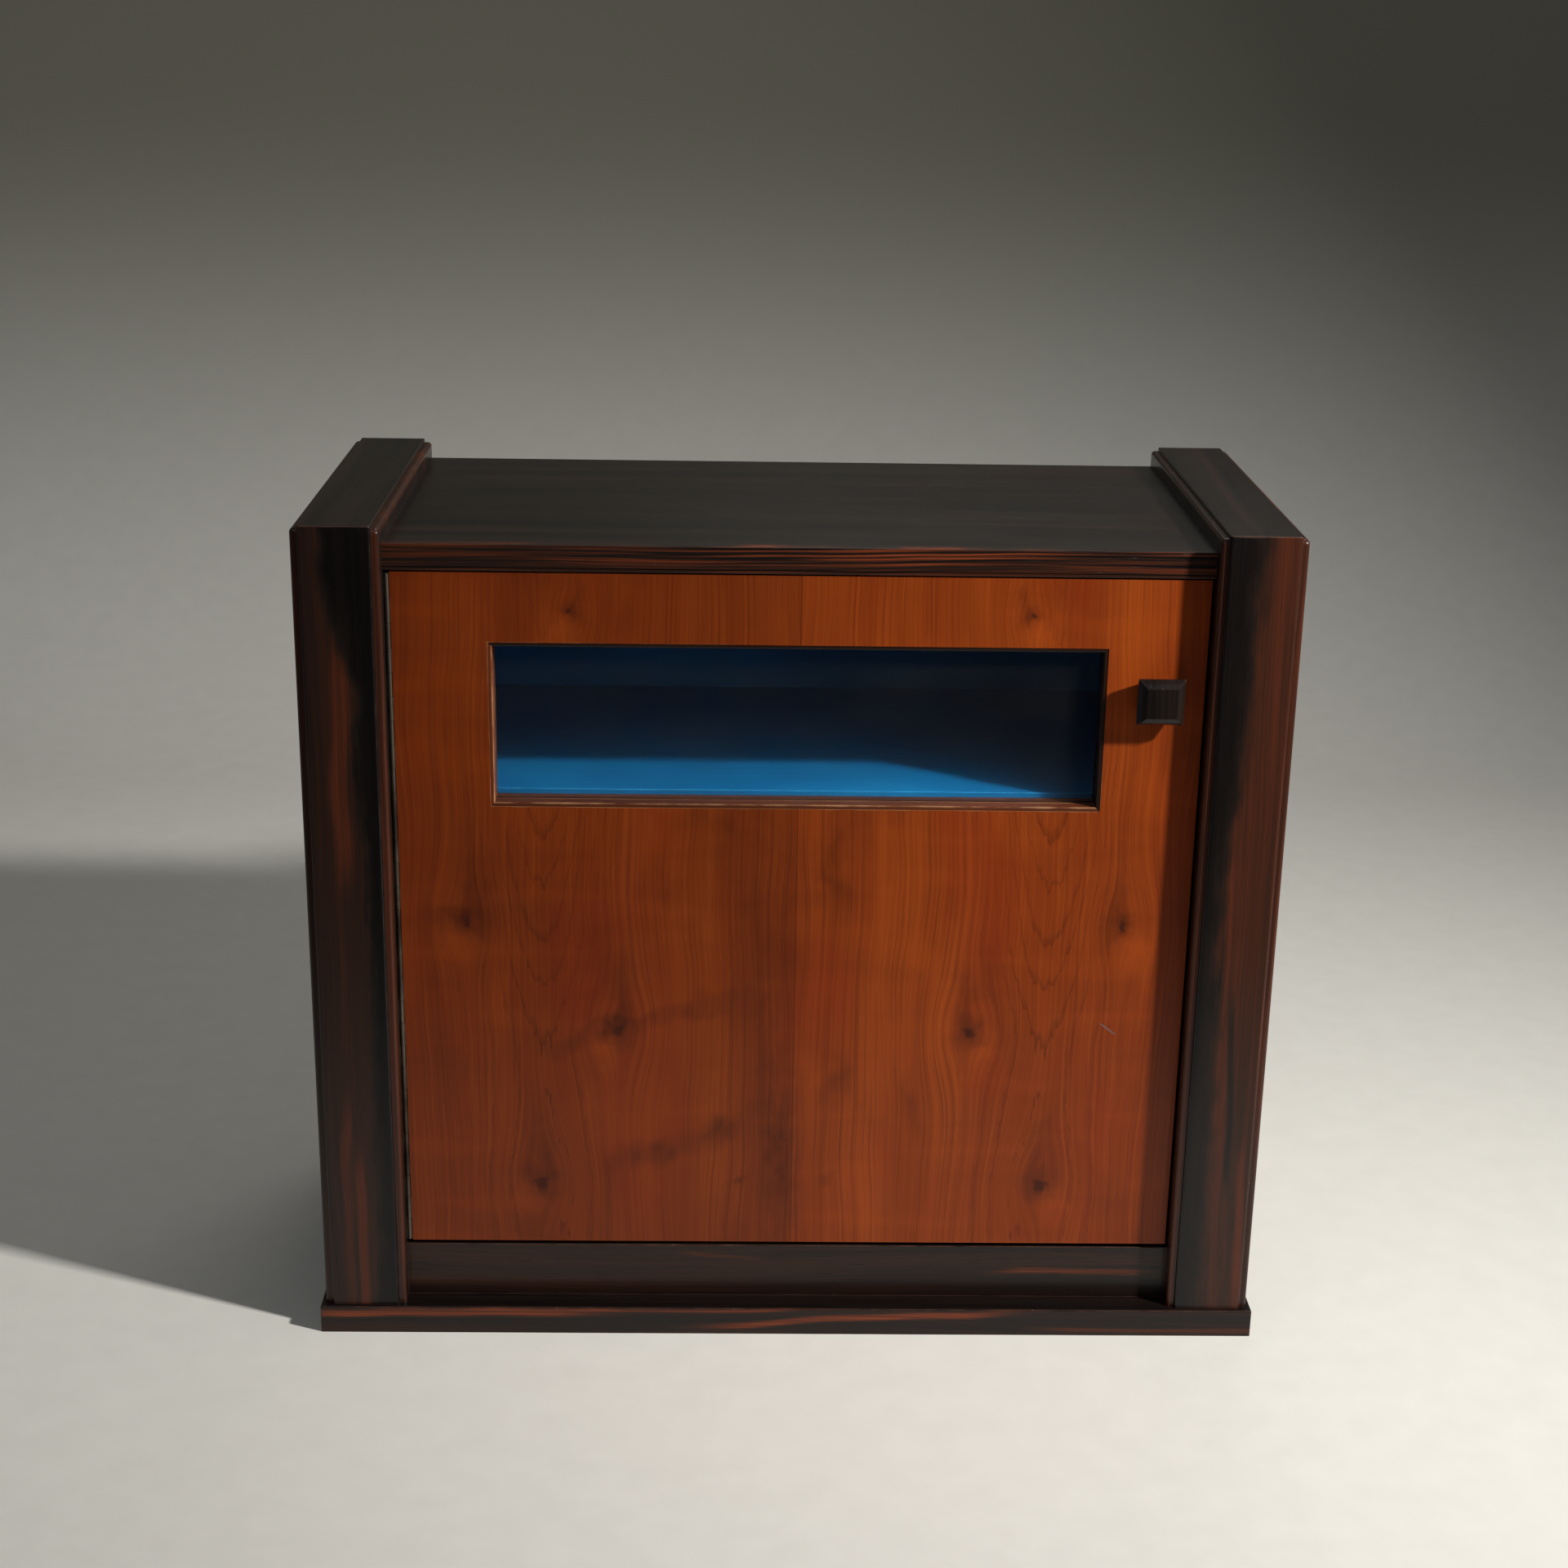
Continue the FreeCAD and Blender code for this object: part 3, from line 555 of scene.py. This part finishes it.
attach(catch_coil, "door")
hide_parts("catch_spring")
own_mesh(catch_coil)


# Door blank: stiles, top rail and lower panel of solid wood, dowelled together and stained to the
# veneer's brown where their edges show. The strips that line the window are pale from wear at the left
# and below, with painted light there too, and darkened by painted shade at the right and above. The
# beads behind the glass are darkened by painted shade.
def stained(name, axis, piece, wear_and_painted_light, painted_shade=0.0):
    """Stained wood, paler along its arrises from wear and painted light, and darkened by painted shade."""
    dark_stain_and_shade = paint(30, 14, 8)
    pale_wear_and_light = paint(182, 138, 98)
    relief_depth = 0.00008
    material, tree, shader, place = new_material(name, Specular_IOR_Level=0.25)
    grain_place = along_grain(tree, place, axis, (0.2, 0.1, 0.0))
    growth = noise(tree, grain_place, (180, 180, 4), 3.0)
    fibre = noise(tree, grain_place, (1100, 1100, 14), 2.0)
    colour = ramp(tree, growth, (0.3, paint(84, 38, 18)), (0.7, paint(126, 62, 28)))
    colour = tint(tree, scaled(tree, fibre, painted_shade, painted_shade + 0.3), colour, dark_stain_and_shade)
    centre, half = box_of(piece)
    rub = add(tree, "Group", {"Place": place, "Centre": centre, "Half": half, "Width": 0.0015},
              node_tree=rubbed_edges).outputs["Rub"]
    colour = tint(tree, calc(tree, "MULTIPLY", rub, wear_and_painted_light), colour, pale_wear_and_light)
    marks = add(tree, "Group", {"Place": place}, node_tree=handling).outputs
    finish_surface(tree, shader, colour, scaled(tree, marks["Cloud"], 0.3, 0.55), fibre, relief_depth)
    return material


for piece, axis in (("door_left_stile", "z"), ("door_right_stile", "z"), ("door_top_rail", "x"),
                    ("door_lower_panel", "z")):
    dress(stained(f"{piece}_stain", axis, piece, 0.3), piece)
# Painted light and shade by side: the left and lower strips are lit pale, the right and upper ones shaded
# dark.
for side, axis, wear_and_painted_light, painted_shade in (("left", "z", 0.7, 0.0), ("bottom", "x", 0.55, 0.35),
                                   ("right", "z", 0.02, 0.85), ("top", "x", 0.02, 0.85)):
    dress(stained(f"window_lining_{side}_stain", axis, f"window_lining_{side}", wear_and_painted_light, painted_shade),
          f"window_lining_{side}")
    dress(stained(f"glazing_bead_{side}_stain", axis, f"glazing_bead_{side}", 0.02, max(painted_shade, 0.4)),
          f"glazing_bead_{side}")


# Door veneers: two leaves of figured cherry, opened like a book about the seam in the middle, so
# that knots and arched grain mirror each other, under a clear lacquer. A plain sheet covers the back.
leaf_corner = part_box("door_right_veneer")[0]
seam = leaf_corner.x
door_face = leaf_corner.y


def soft_spot(tree, place, centre, reach):
    """One at a centre, fading to nothing over its reach."""
    apart = vector(tree, "DIVIDE", vector(tree, "SUBTRACT", place, centre), reach)
    square = add(tree, "VectorMath", {0: apart, 1: apart}, operation="DOT_PRODUCT").outputs["Value"]
    return calc(tree, "EXPONENT", calc(tree, "MULTIPLY", square, -1.0))


# Cherry figure: growth rings that arch up a line in each leaf and bend round its knots. Its place is
# measured from the seam, and what is left of the seam mirrors what is right of it.
cherry_figure, given, results = new_group(
    "cherry_figure", {"Place": "Vector"},
    dict.fromkeys(("Ring", "Band", "Line", "Fibre", "Knot", "Halo", "Glow"), "Float"))
axes = add(cherry_figure, "SeparateXYZ", {0: given["Place"]}).outputs
out_from_seam = calc(cherry_figure, "ABSOLUTE", axes["X"])
leaf = add(cherry_figure, "CombineXYZ", {0: out_from_seam, 2: axes["Z"]}).outputs[0]
wander = add(cherry_figure, "TexNoise", {"Vector": leaf, "Scale": 70.0, "Detail": 3.0}).outputs["Color"]
wander = vector(cherry_figure, "MULTIPLY", vector(cherry_figure, "SUBTRACT", wander, (0.5, 0.5, 0.5)),
                (0.022, 0.0, 0.022))
torn = vector(cherry_figure, "ADD", leaf, wander)

# Knots of a leaf: distance from the seam, height and size
knots = ((0.269, 0.369, 0.9), (0.147, 0.2735, 1.0), (0.213, 0.1325, 1.2), (0.181, 0.632, 0.5))
bending = 0.8
plume_strength = 0.6
bent = out_from_seam
hearts = []
halos = []
glows = []
for across, height, size in knots:
    knot = (across, 0.0, height)
    pull = soft_spot(cherry_figure, leaf, knot, (0.030 * size, 1.0, 0.042 * size))
    from_knot = calc(cherry_figure, "SUBTRACT", out_from_seam, across)
    pushed = calc(cherry_figure, "MULTIPLY", pull, calc(cherry_figure, "MULTIPLY", from_knot, bending))
    bent = calc(cherry_figure, "SUBTRACT", bent, pushed)
    hearts.append(soft_spot(cherry_figure, torn, knot, (0.0052 * size, 1.0, 0.0058 * size)))
    halos.append(soft_spot(cherry_figure, torn, knot, (0.014 * size, 1.0, 0.015 * size)))
    over_knot = (across - 0.004, 0.0, height + 0.030 * size)
    plume = soft_spot(cherry_figure, torn, over_knot, (0.012 * size, 1.0, 0.034 * size))
    halos.append(calc(cherry_figure, "MULTIPLY", plume, plume_strength))
    under_knot = (across + 0.010, 0.0, height - 0.015)
    glows.append(soft_spot(cherry_figure, torn, under_knot, (0.013, 1.0, 0.016)))

# Rings round the heart of the log, opened into arches above a height
sway = scaled(cherry_figure, noise(cherry_figure, leaf, (9, 1, 4)), -0.014, 0.014)
jag = scaled(cherry_figure, noise(cherry_figure, leaf, (230, 1, 40), 3.0), -0.0055, 0.0055)
heart_line = 0.206
arch_round = 0.018
lowest_arch = 0.27
arch_slope = 0.40
arch_reach = 0.050
arch_blend = 0.05
ring_width = 0.0170
swayed = calc(cherry_figure, "ADD", bent, sway)
straight = add(cherry_figure, "CombineXYZ", {0: swayed, 2: axes["Z"]}).outputs[0]
aside = calc(cherry_figure, "SUBTRACT", swayed, heart_line)
aside_square = calc(cherry_figure, "MULTIPLY", aside, aside)
growth = calc(cherry_figure, "SQRT", calc(cherry_figure, "ADD", aside_square, arch_round ** 2))
near_heart = calc(cherry_figure, "MULTIPLY", aside_square, -1 / arch_reach ** 2)
near_heart = calc(cherry_figure, "EXPONENT", near_heart)
above = calc(cherry_figure, "SUBTRACT", axes["Z"], lowest_arch)
above = calc(cherry_figure, "SMOOTH_MAX", above, 0.0, arch_blend)
arched = calc(cherry_figure, "MULTIPLY", above, calc(cherry_figure, "MULTIPLY", near_heart, -arch_slope))
growth = total(cherry_figure, growth, arched, jag)
followed = add(cherry_figure, "CombineXYZ", {0: growth, 2: axes["Z"]}).outputs[0]
uneven = scaled(cherry_figure, noise(cherry_figure, followed, (40, 1, 0.6)), -0.7, 0.7)
ring = calc(cherry_figure, "ADD", calc(cherry_figure, "DIVIDE", growth, ring_width), uneven)
part_of_ring = calc(cherry_figure, "FRACT", ring)
late_wood = calc(cherry_figure, "MULTIPLY", fade(cherry_figure, part_of_ring, 0.70, 0.97),
                 fade(cherry_figure, part_of_ring, 1.0, 0.97))
ring_strength = add(cherry_figure, "TexWhiteNoise", {"W": calc(cherry_figure, "FLOOR", ring)},
                    noise_dimensions="1D").outputs["Value"]
ring_strength = calc(cherry_figure, "MULTIPLY", scaled(cherry_figure, ring_strength, 0.6, 1.0),
                     scaled(cherry_figure, near_heart, 0.15, 1.5))
below_top = scaled(cherry_figure, fade(cherry_figure, axes["Z"], 0.63, 0.55), 0.3, 1.0)
ring_strength = calc(cherry_figure, "MULTIPLY", ring_strength, below_top)

# Straight fibres and lines between the rings
coarse = noise(cherry_figure, straight, (340, 1, 3), 2.0)
fine = noise(cherry_figure, straight, (1000, 1, 9), 2.0)
line = fade(cherry_figure, noise(cherry_figure, straight, (430, 1, 1.4), 1.0), 0.50, 0.70)
put_out(cherry_figure, results,
        Ring=calc(cherry_figure, "MULTIPLY", late_wood, ring_strength),
        Band=noise(cherry_figure, straight, (24, 1, 1.6), 3.0),
        Line=calc(cherry_figure, "MULTIPLY", line, scaled(cherry_figure, near_heart, 1.0, 0.35)),
        Fibre=calc(cherry_figure, "MULTIPLY", calc(cherry_figure, "ADD", coarse, fine), 0.5),
        Knot=total(cherry_figure, *hearts),
        Halo=total(cherry_figure, *halos),
        Glow=total(cherry_figure, *glows))


def cherry(name, leaf_shift, worn_and_lit_window, stains, bands):
    """Lacquered cherry, with stains and bands of its own. On the door's face, the window argument gives the
    lower left and upper right corner of the hole, whose rim is pale from wear, with painted light along its
    left and lower sides."""
    relief_depth = 0.00005
    material, tree, shader, place = new_material(
        name, Specular_IOR_Level=0.15, Coat_Weight=0.08, Coat_Roughness=0.1)
    from_seam = add(tree, "Mapping", {"Vector": place, "Location": leaf_shift}).outputs[0]
    grain = add(tree, "Group", {"Place": from_seam}, node_tree=cherry_figure).outputs
    axes = add(tree, "SeparateXYZ", {0: place}).outputs

    def stain(colour, share, strength, over):
        """Lays another colour over, by a mask and its strength."""
        return tint(tree, calc(tree, "MULTIPLY", share, strength), colour, over)

    colour = ramp(tree, grain["Band"], (0.30, paint(118, 46, 12)), (0.5, paint(130, 54, 14)),
                  (0.72, paint(142, 62, 17)))
    colour = stain(colour, grain["Ring"], 0.47, paint(74, 28, 10))
    colour = stain(colour, fade(tree, grain["Fibre"], 0.50, 0.62), 0.28, paint(92, 34, 10))
    colour = stain(colour, fade(tree, grain["Fibre"], 0.49, 0.36), 0.3, paint(160, 76, 20))
    colour = stain(colour, grain["Line"], 0.40, paint(84, 31, 10))
    flush = noise(tree, place, (11, 11, 5), 3.0)
    colour = stain(colour, fade(tree, flush, 0.50, 0.70), 0.35, paint(128, 40, 14))
    # Cross-grain ripple figure, with the sheen that shifts over it painted in as lighter and darker bands.
    ripple_and_sheen = noise(tree, place, (6, 6, 34), 2.0)
    colour = stain(colour, fade(tree, ripple_and_sheen, 0.54, 0.72), 0.14, paint(160, 70, 18))
    colour = stain(colour, fade(tree, ripple_and_sheen, 0.46, 0.28), 0.14, paint(92, 32, 12))
    cloud = noise(tree, place, (13, 13, 7), 4.0)
    colour = stain(colour, fade(tree, cloud, 0.52, 0.72), 0.35, paint(158, 68, 17))
    colour = stain(colour, fade(tree, cloud, 0.48, 0.28), 0.3, paint(80, 31, 12))
    colour = stain(colour, grain["Glow"], 0.35, paint(172, 76, 22))
    ragged = noise(tree, place, (110, 110, 60), 4.0)
    halo = calc(tree, "MULTIPLY", grain["Halo"], scaled(tree, ragged, 0.1, 0.9))
    drift = add(tree, "TexNoise", {"Vector": place, "Scale": 30.0, "Detail": 1.0}).outputs["Color"]
    drift = vector(tree, "MULTIPLY", vector(tree, "SUBTRACT", drift, (0.5, 0.5, 0.5)), (0.04, 0.0, 0.04))
    drifted = vector(tree, "ADD", place, drift)
    for across, up, width, height, strength in stains:
        smudge = soft_spot(tree, drifted, (across, door_face, up), (width, 1.0, height))
        halo = calc(tree, "MULTIPLY_ADD", calc(tree, "MULTIPLY", smudge, ragged), strength, halo)
    drifted_axes = add(tree, "SeparateXYZ", {0: drifted}).outputs
    for start, end, width, strength in bands:
        smear = streak(tree, drifted_axes["X"], drifted_axes["Z"], start, end, width)
        halo = calc(tree, "MULTIPLY_ADD", calc(tree, "MULTIPLY", smear, ragged), strength, halo)
    colour = tint(tree, halo, colour, paint(66, 26, 11))
    heart = fade(tree, grain["Knot"], 0.2, 0.95)
    colour = stain(colour, heart, calc(tree, "MULTIPLY_ADD", ragged, -0.5, 1.0), paint(48, 19, 9))
    if worn_and_lit_window:
        # Painted shade: the whole left leaf is darkened.
        left_leaf_painted_shade = fade(tree, axes["X"], seam + 0.0002, seam - 0.0002)
        colour = stain(colour, left_leaf_painted_shade, 0.27, paint(62, 21, 8))
        from_joint = calc(tree, "ABSOLUTE", calc(tree, "SUBTRACT", axes["X"], seam))
        colour = stain(colour, fade(tree, from_joint, 0.0007, 0.0002), 0.5, paint(44, 16, 8))
        knocked = streak(tree, axes["X"], axes["Z"], (0.256, 0.284), (0.272, 0.272), 0.0013)
        colour = stain(colour, knocked, 0.7, paint(104, 96, 100))
        low, high = worn_and_lit_window
        middle = (low + high) / 2
        half = (high - low) / 2
        apart = vector(tree, "ABSOLUTE", vector(tree, "SUBTRACT", place, middle))
        outside = add(tree, "SeparateXYZ", {0: vector(tree, "SUBTRACT", apart, half)}).outputs
        outside = calc(tree, "MAXIMUM", outside["X"], outside["Z"])
        worn_to = scaled(tree, noise(tree, place, (50, 50, 50), 4.0), -0.0016, 0.0022)
        wear = fade(tree, outside, calc(tree, "MAXIMUM", worn_to, 0.0001), 0.0)
        # Painted light: the pale rim is kept to the hole's left and lower sides, which face the lamp.
        worn_and_lit_side = calc(tree, "MAXIMUM", fade(tree, axes["X"], middle.x, low.x),
                            fade(tree, axes["Z"], middle.z, low.z))
        colour = stain(colour, calc(tree, "MULTIPLY", wear, worn_and_lit_side), 0.6, paint(168, 122, 82))
    marks = add(tree, "Group", {"Place": place}, node_tree=handling).outputs
    roughness = total(tree, scaled(tree, marks["Cloud"], 0.24, 0.38), calc(tree, "MULTIPLY", heart, 0.15))
    height = calc(tree, "SUBTRACT", grain["Fibre"], grain["Ring"])
    finish_surface(tree, shader, colour, roughness, height, relief_depth)
    return material


strip_lip = 0.0035
window_corners = (
    Vector((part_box("window_lining_left")[1].x - strip_lip, 0.0,
            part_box("window_lining_bottom")[1].z - strip_lip)),
    Vector((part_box("window_lining_right")[0].x + strip_lip, 0.0,
            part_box("window_lining_top")[0].z + strip_lip)),
)
# Dark stains on the face: place across and up, width, height and strength
door_stains = (
    (-0.066, 0.187, 0.011, 0.010, 0.9), (-0.113, 0.163, 0.020, 0.010, 0.55),
    (-0.009, 0.150, 0.012, 0.060, 0.8), (-0.020, 0.430, 0.050, 0.160, 0.4),
    (-0.285, 0.372, 0.026, 0.008, 0.7), (-0.018, 0.200, 0.022, 0.130, 0.45),
    (0.033, 0.425, 0.010, 0.034, 0.8), (0.036, 0.231, 0.010, 0.024, 0.8),
    (0.101, 0.211, 0.008, 0.022, 0.55), (-0.042, 0.136, 0.006, 0.004, 0.9),
    (0.036, 0.137, 0.007, 0.004, 0.55), (-0.107, 0.397, 0.018, 0.016, 0.5),
    (-0.066, 0.455, 0.030, 0.012, 0.4),
)
# Dark smears across it: start, end, width and strength
door_bands = (
    ((-0.230, 0.248), (-0.030, 0.312), 0.014, 0.55),
    ((-0.170, 0.138), (-0.015, 0.212), 0.020, 0.40),
)
door_cherry = cherry("door_cherry", (-seam, 0.0, 0.0), window_corners, door_stains, door_bands)
dress(door_cherry, "door_left_veneer", "door_right_veneer")
away_from_knots = (1.3, 0.0, -1.7)
dress(cherry("door_back_cherry", away_from_knots, None, (), ()), "door_back_veneer")


# Glass: one clear float pane, held between the lining strips and the beads. A thin film of dust with
# a few specks lies on it. In shadows it only tints the light a little.
glass_colour = paint(236, 244, 242)
dust_colour = paint(206, 202, 192)
thickest_film = 0.007
speck_share = 0.2
glass, tree, shader, place = new_material(
    "clear_pane", Base_Color=glass_colour, Roughness=0.02, IOR=1.52, Transmission_Weight=1.0)
film = scaled(tree, noise(tree, place, (16, 16, 40), 4.0), 0.0, thickest_film)
speck = fade(tree, noise(tree, place, (700, 700, 700), 1.0), 0.82, 0.85)
dust = calc(tree, "MULTIPLY_ADD", speck, speck_share, film)
dusty = add(tree, "BsdfDiffuse", {"Color": dust_colour}).outputs[0]
dusty = add(tree, "MixShader", {0: dust, 1: shader.outputs[0], 2: dusty}).outputs[0]
let_through = add(tree, "BsdfTransparent", {"Color": glass_colour}).outputs[0]
ray = add(tree, "LightPath").outputs["Is Shadow Ray"]
pane = add(tree, "MixShader", {0: ray, 1: dusty, 2: let_through}).outputs[0]
tree.links.new(pane, tree.nodes["Material Output"].inputs["Surface"])
dress(glass, "glass_pane")


# Knob: a square block of solid ebony, flared from its neck and bevelled to a flat front. It is nearly
# black, with rubbed arrises that are also painted lighter as a highlight, and a screw through the door
# holds it.
dress(ebony("knob_ebony", "z", (0.4, 0.9, 0.2), "knob", strength=0.36, rub_width=0.002), "knob")


# Studio: a pale floor that sweeps up into a plain, darker wall, lit by a small soft lamp at the right in
# front, a wide fill, a back lamp and even light all round. In reflections the floor is dark further in
# front, as the dim room is. The camera stands where the picture was taken from.
floor_reach = 6.0
wall_distance = 2.4
wall_height = 3.4
sweep_radius = 1.1
sweep_steps = 24
corner_reach = 0.1
floor_mesh = bpy.data.meshes.new("studio_floor")
sweep = bmesh.new()
outline = ((-floor_reach, 0.0), (wall_distance, 0.0), (wall_distance, wall_height))
profile = [sweep.verts.new((-floor_reach, y, z)) for y, z in outline]
edges = [sweep.edges.new(pair) for pair in zip(profile, profile[1:])]
grown = bmesh.ops.extrude_edge_only(sweep, edges=edges)["geom"]
moved = [item for item in grown if isinstance(item, bmesh.types.BMVert)]
bmesh.ops.translate(sweep, verts=moved, vec=(2 * floor_reach, 0.0, 0.0))
corner = [edge for edge in sweep.edges
          if all(vert.co.y > wall_distance - corner_reach and vert.co.z < corner_reach
                 for vert in edge.verts)]
bmesh.ops.bevel(sweep, geom=corner, offset=sweep_radius, segments=sweep_steps, profile=0.5,
                affect="EDGES", material=-1)
bmesh.ops.recalc_face_normals(sweep, faces=sweep.faces)
for face in sweep.faces:
    face.smooth = True
sweep.to_mesh(floor_mesh)
sweep.free()
studio_floor = bpy.data.objects.new("studio_floor", floor_mesh)
bpy.context.scene.collection.objects.link(studio_floor)
floor_finish, tree, shader, place = new_material("pale_floor", Specular_IOR_Level=0.1)
wall_grey = paint(138, 136, 124)
room_grey = paint(72, 70, 64)
plaster = noise(tree, place, (30, 30, 30), 5.0)
colour = ramp(tree, plaster, (0.3, paint(226, 224, 217)), (0.7, paint(230, 228, 221)))
axes = add(tree, "SeparateXYZ", {0: place}).outputs
up_the_wall = fade(tree, axes["Z"], 0.0, 0.9)
colour = tint(tree, up_the_wall, colour, wall_grey)
far_in_front = fade(tree, axes["Y"], -0.45, -1.1)
reflected = add(tree, "LightPath").outputs["Is Glossy Ray"]
colour = tint(tree, calc(tree, "MULTIPLY", far_in_front, reflected), colour, room_grey)
finish_surface(tree, shader, colour, scaled(tree, plaster, 0.6, 0.8), plaster, 0.0003)
floor_mesh.materials.append(floor_finish)

aim = Vector((0.0, 0.0, 0.35))


def soft_lamp(name, azimuth, elevation, distance, size, spread, power, colour):
    """Square lamp that looks at the cabinet. Azimuth goes from the front to the right."""
    turn = math.radians(azimuth)
    lift = math.radians(elevation)
    away = Vector((math.sin(turn) * math.cos(lift), -math.cos(turn) * math.cos(lift), math.sin(lift)))
    lamp = bpy.data.lights.new(name, "AREA")
    lamp.size = size
    lamp.spread = math.radians(spread)
    lamp.energy = power
    lamp.color = colour
    holder = bpy.data.objects.new(name, lamp)
    holder.location = aim + away * distance
    holder.rotation_euler = (-away).to_track_quat("-Z", "Y").to_euler()
    bpy.context.scene.collection.objects.link(holder)


soft_lamp("key_lamp", azimuth=59, elevation=34, distance=2.6, size=0.15, spread=90, power=21.8,
          colour=(1.0, 0.98, 0.95))
soft_lamp("fill_lamp", azimuth=-30, elevation=66, distance=3.0, size=1.4, spread=90, power=1.2,
          colour=(0.94, 0.97, 1.0))
soft_lamp("back_lamp", azimuth=165, elevation=50, distance=2.4, size=1.2, spread=120, power=3.5,
          colour=(1.0, 0.95, 0.88))

world = bpy.data.worlds.new("studio_world")
world.use_nodes = True
all_round = world.node_tree.nodes["Background"].inputs
all_round["Color"].default_value = (0.96, 0.98, 1.0, 1.0)
all_round["Strength"].default_value = 0.12
bpy.context.scene.world = world
bpy.context.scene.view_settings.view_transform = "Standard"

camera_place = Vector((-0.05204, -2.06218, 1.13782))
camera_yaw = math.radians(1.25876)
camera_pitch = math.radians(-18.71106)
camera_roll = math.radians(0.94605)
lens = bpy.data.cameras.new("camera")
lens.lens = 57.25
camera = bpy.data.objects.new("camera", lens)
looking = Euler((math.pi / 2 + camera_pitch, 0.0, -camera_yaw)).to_matrix().to_4x4()
camera.matrix_world = Matrix.Translation(camera_place) @ looking @ Matrix.Rotation(camera_roll, 4, "Z")
bpy.context.scene.collection.objects.link(camera)
bpy.context.scene.camera = camera
